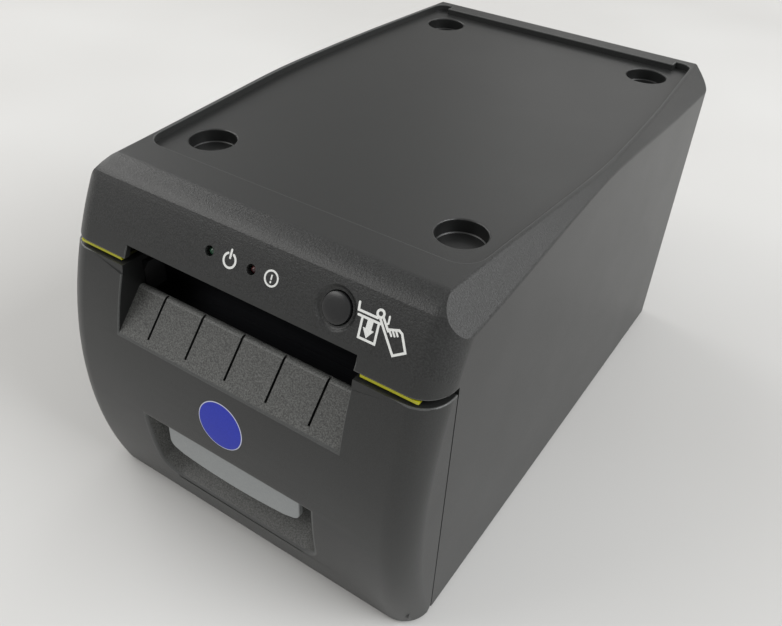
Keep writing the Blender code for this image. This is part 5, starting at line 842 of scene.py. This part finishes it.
# Feed button: a round satin cap that stands in a dished seat, moulded in black with two ears.
# It is pressed straight into the fascia against the switch behind it.
BUTTON_RADIUS = 0.0044
satin_black = case_plastic("satin_black_plastic", (0.0070, 0.0073, 0.0078), 0.32, 0.0004, 0.000006, 0.2)
cap = [(0, -0.00038), (0.0015, -0.00035), (0.0026, -0.00027), (0.0035, -0.00014), (0.0040, 0.00004),
       (0.00425, 0.00022), (0.00436, 0.00048), (BUTTON_RADIUS, 0.0008), (BUTTON_RADIUS, 0.0033), (0, 0.0033)]
button = lathe("button_cap", [(radius, depth_y(depth)) for radius, depth in cap], "Y", (BUTTON_X, ARC_Z), 72)
ears = block("button_ears", (BUTTON_X - 0.0062, depth_y(0.0023), ARC_Z - 0.0016),
             (BUTTON_X + 0.0062, depth_y(0.0032), ARC_Z + 0.0016))
button = smooth_shaded(at_fascia(carved(button, [ears], "UNION")))
button.data.materials.append(satin_black)
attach(button, "button")
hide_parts("feed_button")


# Status lights: two clear 3 mm lamps with domed ends, one green and one red, unlit.
# Each stands on the panel board and looks out of its hole in the fascia.
def lens(name, tint, glint):
    """Tinted clear resin, glossy outside, its colour mottled by a fine noise between the tint and a paler
    painted glint.
    """
    finish, shader, add, join = new_finish(name)
    shader.inputs["Coat Weight"].default_value = 0.4
    shader.inputs["Coat Roughness"].default_value = 0.08
    flow = add("TexNoise", Scale=900.0)
    # Paler patches of painted glint over the tint.
    painted_glint = two_tone(add, (0.42, 0.62), tint, glint)
    join(add("TexCoord"), "Object", flow, "Vector")
    join(flow, "Fac", painted_glint, "Fac")
    join(painted_glint, "Color", shader, "Base Color")
    roughened(add, join, shader, flow, 0.16, 0.34)
    return finish


LAMP_RADIUS, LAMP_TIP = 0.0013, 0.0009
lamp_shape = [(LAMP_RADIUS * math.sin(a), LAMP_TIP + LAMP_RADIUS * (1 - math.cos(a)))
              for a in (math.pi / 2 * i / 8 for i in range(9))]
lamp_shape += [(LAMP_RADIUS, 0.0048), (0.0017, 0.0048), (0.0017, 0.0053), (0, 0.0053)]
lamp_shape = [(radius, depth_y(depth)) for radius, depth in lamp_shape]
for name, node, x, tint, glint in (
        ("green_lamp", "green_light", GREEN_X, (0.004, 0.028, 0.012), (0.020, 0.090, 0.045)),
        ("red_lamp", "red_light", RED_X, (0.028, 0.004, 0.005), (0.095, 0.018, 0.018))):
    lamp = smooth_shaded(at_fascia(lathe(name, lamp_shape, "Y", (x, ARC_Z), 36)))
    lamp.data.materials.append(lens(name.replace("_lamp", "_resin"), tint, glint))
    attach(lamp, "base")
    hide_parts(node)


# Printed symbols: white ink pads beside the lights and the button, a few hundredths of a
# millimetre thick. Power, a call for attention, and a sheet that a finger feeds from its slot.
INK_RISE, INK_ROOT, INK_STEP = 0.00003, -0.00006, 0.0005
MM = 0.001


def on_bow(u, v, rise):
    """A point of the bowed fascia, u across and v up from the middle line of the controls."""
    angle = CONTROL_TILT + v / FRONT_RADIUS
    radius = FRONT_RADIUS + rise
    return (u, ARC_Y - radius * math.cos(angle), ARC_Z + radius * math.sin(angle))


def stroke(points, width, closed=False, round_ends=True):
    """Rows across a pen stroke through points in millimetres: left and right, mitred at corners."""
    line = [Vector(p) * MM for p in points]
    fine = []
    spans = list(zip(line, line[1:])) + ([(line[-1], line[0])] if closed else [])
    for a, b in spans:
        count = max(1, math.ceil((b - a).length / INK_STEP))
        fine += [a.lerp(b, i / count) for i in range(count)]
    if not closed:
        fine.append(line[-1])
    rows = []
    for i, p in enumerate(fine):
        before = fine[i - 1] if i or closed else None
        after = fine[(i + 1) % len(fine)] if i + 1 < len(fine) or closed else None
        first = (p - before).normalized() if before is not None else (after - p).normalized()
        second = (after - p).normalized() if after is not None else first
        square = Vector((-(first.y + second.y), first.x + second.x)).normalized()
        reach = width / 2 / max(square.dot(Vector((-first.y, first.x))), 0.5)
        rows.append((p + square * reach, p - square * reach))
    if round_ends and not closed:
        for end, start, away in ((0, fine[0], (fine[0] - fine[1]).normalized()),
                                 (-1, fine[-1], (fine[-1] - fine[-2]).normalized())):
            square = Vector((-away.y, away.x))
            caps = []
            for turn in (25, 50, 72):
                a = math.radians(turn)
                middle, half = start + away * (width / 2 * math.sin(a)), square * (width / 2 * math.cos(a))
                caps.append((middle - half, middle + half) if end == 0 else (middle + half, middle - half))
            rows = list(reversed(caps)) + rows if end == 0 else rows + caps
    return rows, closed


def ring_of(centre, radius, start=0.0, end=360.0, count=40):
    angles = [math.radians(start + (end - start) * i / count) for i in range(count + (end - start < 360))]
    return [(centre[0] + radius * math.cos(a), centre[1] + radius * math.sin(a)) for a in angles]


def ink_pad(name, middle_x, strokes, lift=0.0):
    """Thin closed pads on the fascia, one for each stroke."""
    bm = bmesh.new()
    corners = ((0, INK_RISE), (1, INK_RISE), (1, INK_ROOT), (0, INK_ROOT))
    for rows, closed in strokes:
        made = [[bm.verts.new(on_bow(middle_x + row[side].x, row[side].y + lift, rise))
                 for side, rise in corners] for row in rows]
        pairs = list(zip(made, made[1:])) + ([(made[-1], made[0])] if closed else [])
        for a, b in pairs:
            for i in range(4):
                bm.faces.new((a[i], a[(i + 1) % 4], b[(i + 1) % 4], b[i]))
        if not closed:
            bm.faces.new(made[0])
            bm.faces.new(made[-1])
    pad = smooth_shaded(shape_from(name, bm), 40)
    pad.data.materials.append(white_ink)
    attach(pad, "base")
    return pad


white_ink = case_plastic("white_ink", (0.70, 0.71, 0.69), 0.55, 0.00018, 0.000004, 0.10)
THIN, BOLD = 0.00052, 0.00065
ink_pad("power_symbol", -0.0038, [
    stroke(ring_of((0, -0.1), 2.05, 118, 422), BOLD),
    stroke([(0, 0.6), (0, 2.9)], BOLD)])
ink_pad("attention_symbol", 0.0107, [
    stroke(ring_of((0, 0.1), 2.1, count=48), THIN, True),
    stroke([(0, 1.15), (0, -0.25)], THIN * 0.9, round_ends=False),
    stroke([(0, -0.75), (0, -1.0)], THIN * 0.9)])
arrow_x = -3.8
arrow_rows = [(Vector((arrow_x - half, v)) * MM, Vector((arrow_x + half, v)) * MM) for half, v in (
    (0.85, 1.75), (0.85, 1.2), (0.85, 0.6), (0.85, 0.0), (0.85, -0.55),
    (1.65, -0.56), (1.25, -1.16), (0.85, -1.76), (0.45, -2.36), (0.06, -2.94))]
ink_pad("feed_symbol", 0.046, [
    stroke([(-8.2, 5.0), (-7.9, 3.1), (-2.2, 3.1)], BOLD),
    stroke([(-7.6, 1.95), (-1.1, 1.95)], BOLD),
    stroke([(-6.3, 1.9), (-5.95, -3.5), (-1.1, -3.5), (-1.45, 1.9)], BOLD),
    (arrow_rows, False),
    stroke(ring_of((-1.75, 4.4), 0.95, count=28), BOLD, True),
    stroke([(-1.5, 3.2), (4.5, -4.2), (7.6, -2.2), (5.3, 1.9), (4.3, 2.4), (1.35, 1.45)], BOLD),
    stroke([(-0.75, 3.75), (1.5, 1.1)], BOLD),
    stroke([(0.8, 4.6), (1.0, 2.9), (0.45, 2.4)], THIN),
    stroke([(1.7, 1.5), (2.7, 0.3)], THIN),
    stroke([(2.6, 1.75), (3.55, 0.55)], THIN),
    stroke([(3.5, 2.0), (4.35, 0.9)], THIN)], -0.9 * MM)


# Light guide: clear yellow plastic with an arm in the seam at each end of the fascia.
# Its colour is a painted glow where it comes out, fading to painted shade inside; a bar behind the slot's lip
# joins the arms.
def lit_edge(name):
    """Yellow resin, painted bright at the front as if lit by daylight and painted dark inside the casing as
    shade.
    """
    finish, shader, add, join = new_finish(name)
    where, parts = add("TexCoord"), add("SeparateXYZ")
    mouth = front_y(FASCIA_Z)
    inwards = add("MapRange", From_Min=mouth + 0.0008, From_Max=mouth + 0.0030)
    # Painted glow at the front, fading to painted shade deeper in.
    glow = two_tone(add, (0.0, 1.0), (0.420, 0.405, 0.012), (0.016, 0.017, 0.004))
    flow = add("TexNoise", Scale=600.0)
    for target in (parts, flow):
        join(where, "Object", target, "Vector")
    join(parts, "Y", inwards, "Value")
    join(inwards, "Result", glow, "Fac")
    join(glow, "Color", shader, "Base Color")
    roughened(add, join, shader, flow, 0.22, 0.42, 0.00001)
    return finish


def light_guide():
    top, thick = FASCIA_Z - GAP, 0.0009
    front, back = front_y(FASCIA_Z) + 0.00045, FRONT_Y + 0.01605
    arm = [(0.0430, back), (0.0430, front), (0.0600, front), (0.0604, front + 0.0002), (0.0604, back)]
    guide = block("guide_bar", (-0.0442, back - 0.0014, 0.0994), (0.0442, back, 0.1009))
    riser = block("guide_riser", (0.0430, back - 0.0011, top - thick / 2), (0.0441, back - GAP, 0.1001))
    arms = both_sides(bar("guide_arms", arm, "Z", top - thick, top))
    return carved(guide, [arms, both_sides(riser)], "UNION")


guide = smooth_shaded(cleaned(light_guide()))
guide.data.materials.append(lit_edge("yellow_resin"))
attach(guide, "base")
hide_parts("light_guide")


# Inner panel of the door: black plastic with a cheek at each side, held on by four screws.
# The same black plastic makes the paper bay and the base.
def dressed(finish, *nodes):
    """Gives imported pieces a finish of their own."""
    for name in nodes:
        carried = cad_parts[name]
        if carried.material_slots:
            for place in carried.material_slots:
                place.material = finish
        else:
            carried.data.materials.append(finish)


inner_black = case_plastic("inner_black_plastic", (0.0130, 0.0133, 0.0138), 0.55, 0.0005, 0.00002, 0.3)
dressed(inner_black, "door_liner", "paper_bay")


def steel(name, colour, roughness, streaks, depth=0.000004):
    """Rolled or ground steel: fine lines along one direction, with duller and brighter bands."""
    finish, shader, add, join = new_finish(name)
    shader.inputs["Metallic"].default_value = 1.0
    drawn = add("Mapping", Scale=streaks)
    lines = add("TexNoise", Scale=1.0, Detail=4.0)
    tone = two_tone(add, (0.35, 0.65), [c * 0.78 for c in colour], colour)
    join(add("TexCoord"), "Object", drawn, "Vector")
    join(drawn, "Vector", lines, "Vector")
    join(lines, "Fac", tone, "Fac")
    join(tone, "Color", shader, "Base Color")
    roughened(add, join, shader, lines, roughness - 0.1, roughness + 0.1, depth)
    return finish


zinc_plate = steel("zinc_plated_steel", (0.50, 0.51, 0.52), 0.38, (900, 900, 90))
ground_steel = steel("ground_steel", (0.56, 0.56, 0.57), 0.26, (60, 2400, 2400))
screw_steel = steel("screw_steel", (0.42, 0.42, 0.43), 0.34, (1500, 1500, 1500))


def cross_head_screw(name, axis, across, tip, seat, top, shank, head):
    """A screw with a soft-edged head and a cross sunk in it; top lies beyond the seat."""
    way = 1 if top > seat else -1
    thick = abs(top - seat)
    made = lathe(name, [
        (0, tip), (shank * 0.55, tip), (shank, tip + way * shank), (shank, seat), (head, seat),
        (head, seat + way * thick * 0.45), (head * 0.93, seat + way * thick * 0.75),
        (head * 0.78, top - way * thick * 0.06), (head * 0.4, top), (0, top)], axis, across, 32)
    depth, arm, half = thick * 0.6, head * 0.55, head * 0.11
    cross = []
    for long, short in ((arm, half), (half, arm)):
        outline = [(-long, -short), (long, -short), (long, short), (-long, short)]
        cross.append(bar("driver_cross", outline, axis, top - depth, top + depth))
        cross[-1].data.transform(Matrix.Translation(ALONG[axis] @ Vector((*across, 0))))
    carved(made, cross)
    smooth_shaded(cleaned(made))
    made.data.materials.append(screw_steel)
    return made


for number in range(1, 5):
    low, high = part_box(f"liner_screw_{number}")
    across = (low.x + high.x) / 2, (low.z + high.z) / 2
    screw = cross_head_screw(f"liner_screw_head_{number}", "Y", across, low.y, high.y - 0.0012, high.y,
                             0.0011, 0.0024)
    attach(screw, "door")
    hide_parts(f"liner_screw_{number}")


# Platen: the feed roller, black nitrile rubber ground true on a steel shaft, with a white gear.
# It turns in two white bushes in the cheeks and swings away with the door.
nitrile = case_plastic("ground_nitrile_rubber", (0.0125, 0.0125, 0.0130), 0.62, 0.00022, 0.000015, 0.35)
gear_plastic = case_plastic("white_gear_plastic", (0.62, 0.61, 0.57), 0.42, 0.0008, 0.000008, 0.06)
shaft_steel = steel("shaft_steel", (0.56, 0.56, 0.57), 0.22, (2600, 90, 90))
dressed(nitrile, "platen_rubber")
dressed(shaft_steel, "platen_shaft")
dressed(gear_plastic, "platen_gear", "platen_bush_left", "platen_bush_right", "idler_gear")


# Blades, latch and its spring: blackened steel blades and a plated latch between the door's cheeks.
# The latch rod turns in the cheeks when the lever's arm pushes its trip; a coil turns it back.
black_steel = steel("blackened_steel", (0.045, 0.046, 0.050), 0.36, (40, 1800, 1800))
spring_wire = steel("spring_wire", (0.44, 0.44, 0.45), 0.30, (1800, 1800, 1800))
dressed(black_steel, "fixed_blade", "moving_blade")
dressed(zinc_plate, "latch_bar")


def coil_spring(name, node, axis, turns, wire, body):
    """A round-wire coil with closed ends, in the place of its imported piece."""
    low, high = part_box(node)
    middle = (low + high) / 2
    way = "XYZ".index(axis)
    across = [i for i in range(3) if i != way]
    radius = (high[across[0]] - low[across[0]]) / 2 - wire
    steps = turns * 28
    curve = bpy.data.curves.new(name, "CURVE")
    curve.dimensions = "3D"
    curve.bevel_depth = wire * 0.97
    curve.bevel_resolution = 3
    curve.use_fill_caps = True
    line = curve.splines.new("POLY")
    line.points.add(steps)
    for i, point in enumerate(line.points):
        angle = 2 * math.pi * i / 28
        at = Vector((0.0, 0.0, 0.0))
        at[way] = low[way] + wire + (high[way] - low[way] - 2 * wire) * i / steps
        at[across[0]] = middle[across[0]] + radius * math.cos(angle)
        at[across[1]] = middle[across[1]] + radius * math.sin(angle)
        point.co = (*at, 1)
    drawn = bpy.data.objects.new(name + "_line", curve)
    scene.collection.objects.link(drawn)
    mesh = bpy.data.meshes.new_from_object(drawn.evaluated_get(bpy.context.evaluated_depsgraph_get()))
    bpy.data.objects.remove(drawn)
    made = bpy.data.objects.new(name, mesh)
    scene.collection.objects.link(made)
    mesh.materials.clear()
    mesh.materials.append(spring_wire)
    mesh.shade_smooth()
    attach(made, body)
    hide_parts(node)


coil_spring("latch_coil", "latch_spring", "X", 5, 0.0004, "door")


# Mechanism: blackened steel side plates and bridge, the feed motor and gears, and the head's rod.
# The print head is a milled aluminium plate with a glazed ceramic strip, pressed down by two coils.
milled = steel("milled_aluminium", (0.60, 0.61, 0.62), 0.34, (90, 1500, 1500), 0.000008)
glaze = case_plastic("glazed_ceramic", (0.56, 0.55, 0.50), 0.22, 0.0012, 0.000003, 0.08)
motor_can = steel("drawn_motor_can", (0.46, 0.46, 0.47), 0.36, (60, 700, 700))
dressed(black_steel, "mechanism_frame", "cutter_plate")
dressed(zinc_plate, "panel_screw_1", "panel_screw_2")
dressed(motor_can, "feed_motor", "cutter_motor")
dressed(ground_steel, "feed_pinion", "cutter_pinion", "head_rod")
dressed(milled, "head_plate")
dressed(glaze, "head_ceramic")
coil_spring("head_coil_left", "head_spring_left", "Z", 5, 0.0004, "base")
coil_spring("head_coil_right", "head_spring_right", "Z", 5, 0.0004, "base")


# Boards: green glass-epoxy with its conductors under the mask, a chip, two capacitors in sleeves
# and an extruded heatsink. The small panel board carries the lights and the feed switch.
def circuit_board(name):
    """Green mask over a woven board, with its conductors in rows that stand up a little."""
    finish, shader, add, join = new_finish(name)
    shader.inputs["Coat Weight"].default_value = 0.3
    where = add("TexCoord")
    tracks = add("TexBrick", Scale=160.0, Mortar_Size=0.04, Color1=(0.012, 0.085, 0.036, 1),
                 Color2=(0.016, 0.105, 0.046, 1), Mortar=(0.050, 0.200, 0.095, 1))
    weave = add("TexNoise", Scale=1400.0)
    bump = add("Bump", Distance=0.00001)
    for pattern in (tracks, weave):
        join(where, "Object", pattern, "Vector")
    join(tracks, "Color", shader, "Base Color")
    join(tracks, "Fac", bump, "Height")
    join(bump, "Normal", shader, "Normal")
    roughened(add, join, shader, weave, 0.28, 0.46)
    return finish


dressed(circuit_board("green_circuit_board"), "main_board", "panel_board")
dressed(case_plastic("chip_resin", (0.016, 0.016, 0.017), 0.48, 0.00025, 0.000012, 0.3), "processor")
dressed(satin_black, "feed_switch")
sleeve = case_plastic("capacitor_sleeve", (0.014, 0.016, 0.030), 0.30, 0.0009, 0.000005, 0.15)
for number in (1, 2):
    low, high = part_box(f"capacitor_{number}")
    reach = (high.x - low.x) / 2
    across = (low.x + high.x) / 2, (low.y + high.y) / 2
    can = lathe(f"capacitor_can_{number}", [
        (0, low.z), (reach * 0.93, low.z), (reach, low.z + 0.0006), (reach, low.z + 0.0022),
        (reach * 0.93, low.z + 0.0030), (reach, low.z + 0.0038), (reach, high.z - 0.0007),
        (reach * 0.94, high.z - 0.0001), (reach * 0.82, high.z), (reach * 0.78, high.z - 0.0003),
        (0, high.z - 0.0003)], "Z", across, 40)
    can.data.materials.append(sleeve)
    smooth_shaded(can)
    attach(can, "base")
    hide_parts(f"capacitor_{number}")
low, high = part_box("board_heatsink")
fins, foot = 6, low.z + 0.003
pitch = (high.x - low.x) / fins
comb = [(low.x, low.z), (high.x, low.z)]
for i in reversed(range(fins)):
    left, right = low.x + pitch * i + pitch * 0.3, low.x + pitch * (i + 1)
    comb += [(right, high.z), (left + pitch * 0.25, high.z), (left, foot)]
    if i:
        comb.append((left - pitch * 0.3, foot))
comb += [(low.x + pitch * 0.12, foot + 0.001), (low.x, foot + 0.001)]
heatsink = bar("finned_heatsink", comb, "Y", low.y, high.y)
heatsink.data.materials.append(steel("extruded_aluminium", (0.58, 0.59, 0.60), 0.32, (900, 60, 900)))
smooth_shaded(heatsink)
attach(heatsink, "base")
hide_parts("board_heatsink")


# Sockets and power switch at the back: black and plated shells on the board's edge, which look
# out through the socket panel, with their tongues and contacts, and a rocker in its bezel.
panel_black = case_plastic("panel_black_plastic", (0.0120, 0.0122, 0.0126), 0.52, 0.0004, 0.00002, 0.3)
dressed(panel_black, "socket_panel")
dressed(satin_black, "power_socket", "drawer_socket", "switch_body", "power_rocker")
dressed(ground_steel, "usb_socket")
contact_gold = steel("gilt_contacts", (0.62, 0.45, 0.16), 0.28, (2000, 2000, 200))
tongue_white = case_plastic("socket_tongue_plastic", (0.55, 0.55, 0.52), 0.42, 0.0007, 0.000006, 0.08)


def in_socket(name, pieces, finish):
    made = carved(pieces[0], pieces[1:], "UNION") if len(pieces) > 1 else pieces[0]
    made.name = name
    made.data.materials.append(finish)
    smooth_shaded(cleaned(made))
    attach(made, "base")
    return made


low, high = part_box("usb_socket")
middle_x, middle_z = (low.x + high.x) / 2, (low.z + high.z) / 2
TONGUE_HALF = 0.0016
tongue = block("data_tongue", (middle_x - 0.0027, high.y - 0.0092, middle_z - TONGUE_HALF),
               (middle_x + 0.0027, high.y - 0.0008, middle_z + TONGUE_HALF))
eased_edges(tongue, 0.0003, lambda a, b: True, highlight_slot=0)
in_socket("data_socket_tongue", [tongue], tongue_white)
for side in (-1, 1):
    strip_z = middle_z + side * TONGUE_HALF
    strips = [block("data_strip", (middle_x + x - 0.0005, high.y - 0.0085, strip_z - 0.0001),
                    (middle_x + x + 0.0005, high.y - 0.0018, strip_z + 0.0001))
              for x in (-0.00125, 0.00125)]
    in_socket("data_contacts_" + ("top" if side > 0 else "bottom"), strips, contact_gold)
low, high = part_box("drawer_socket")
middle_x = (low.x + high.x) / 2
WIRE_PITCH, WIRE_HALF = 0.00102, 0.0002
wires = [block("drawer_wire", (x - WIRE_HALF, high.y - 0.0090, high.z - 0.0036),
               (x + WIRE_HALF, high.y - 0.0022, high.z - 0.0032))
         for x in (middle_x + (i - 2.5) * WIRE_PITCH for i in range(6))]
wires.append(block("drawer_wire_bridge", (middle_x - 0.0032, high.y - 0.0093, high.z - 0.0037),
                   (middle_x + 0.0032, high.y - 0.0088, high.z - 0.0031)))
in_socket("drawer_socket_wires", wires, contact_gold)
low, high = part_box("power_socket")
middle_x, middle_z = (low.x + high.x) / 2, (low.z + high.z) / 2
pins = [pin("power_pin", 0.0008, "Y", (middle_x + x, middle_z + z), high.y - 0.0094, high.y - 0.0020, 20)
        for x, z in ((-0.0024, -0.0012), (0.0024, -0.0012), (0.0, 0.0022))]
for number, one in enumerate(pins, 1):
    in_socket(f"power_socket_pin_{number}", [one], ground_steel)


# Base: the floor plate in black plastic, four moulded rubber feet pressed into it from below,
# and four screws that hold it up into the housing.
dressed(inner_black, "base_plate")
foot_rubber = case_plastic("moulded_foot_rubber", (0.0145, 0.0145, 0.0150), 0.70, 0.0003, 0.00002, 0.3)
for number in range(1, 5):
    low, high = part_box(f"rubber_foot_{number}")
    reach = (high.x - low.x) / 2
    across, pad_top = ((low.x + high.x) / 2, (low.y + high.y) / 2), FOOT_HEIGHT - GAP
    foot = lathe(f"foot_pad_{number}", [
        (0, 0.0003), (reach * 0.62, 0.0003), (reach * 0.70, 0), (reach * 0.90, 0), (reach * 0.97, 0.0002),
        (reach, 0.0005), (reach, pad_top), (0.002, pad_top), (0.002, high.z), (0, high.z)], "Z", across, 40)
    foot.data.materials.append(foot_rubber)
    smooth_shaded(foot)
    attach(foot, "base")
    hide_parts(f"rubber_foot_{number}")
    low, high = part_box(f"base_screw_{number}")
    across = (low.x + high.x) / 2, (low.y + high.y) / 2
    screw = cross_head_screw(f"base_screw_head_{number}", "Z", across, high.z, low.z + 0.0007, low.z,
                             0.0013, 0.0026)
    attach(screw, "base")
    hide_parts(f"base_screw_{number}")


low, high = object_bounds()
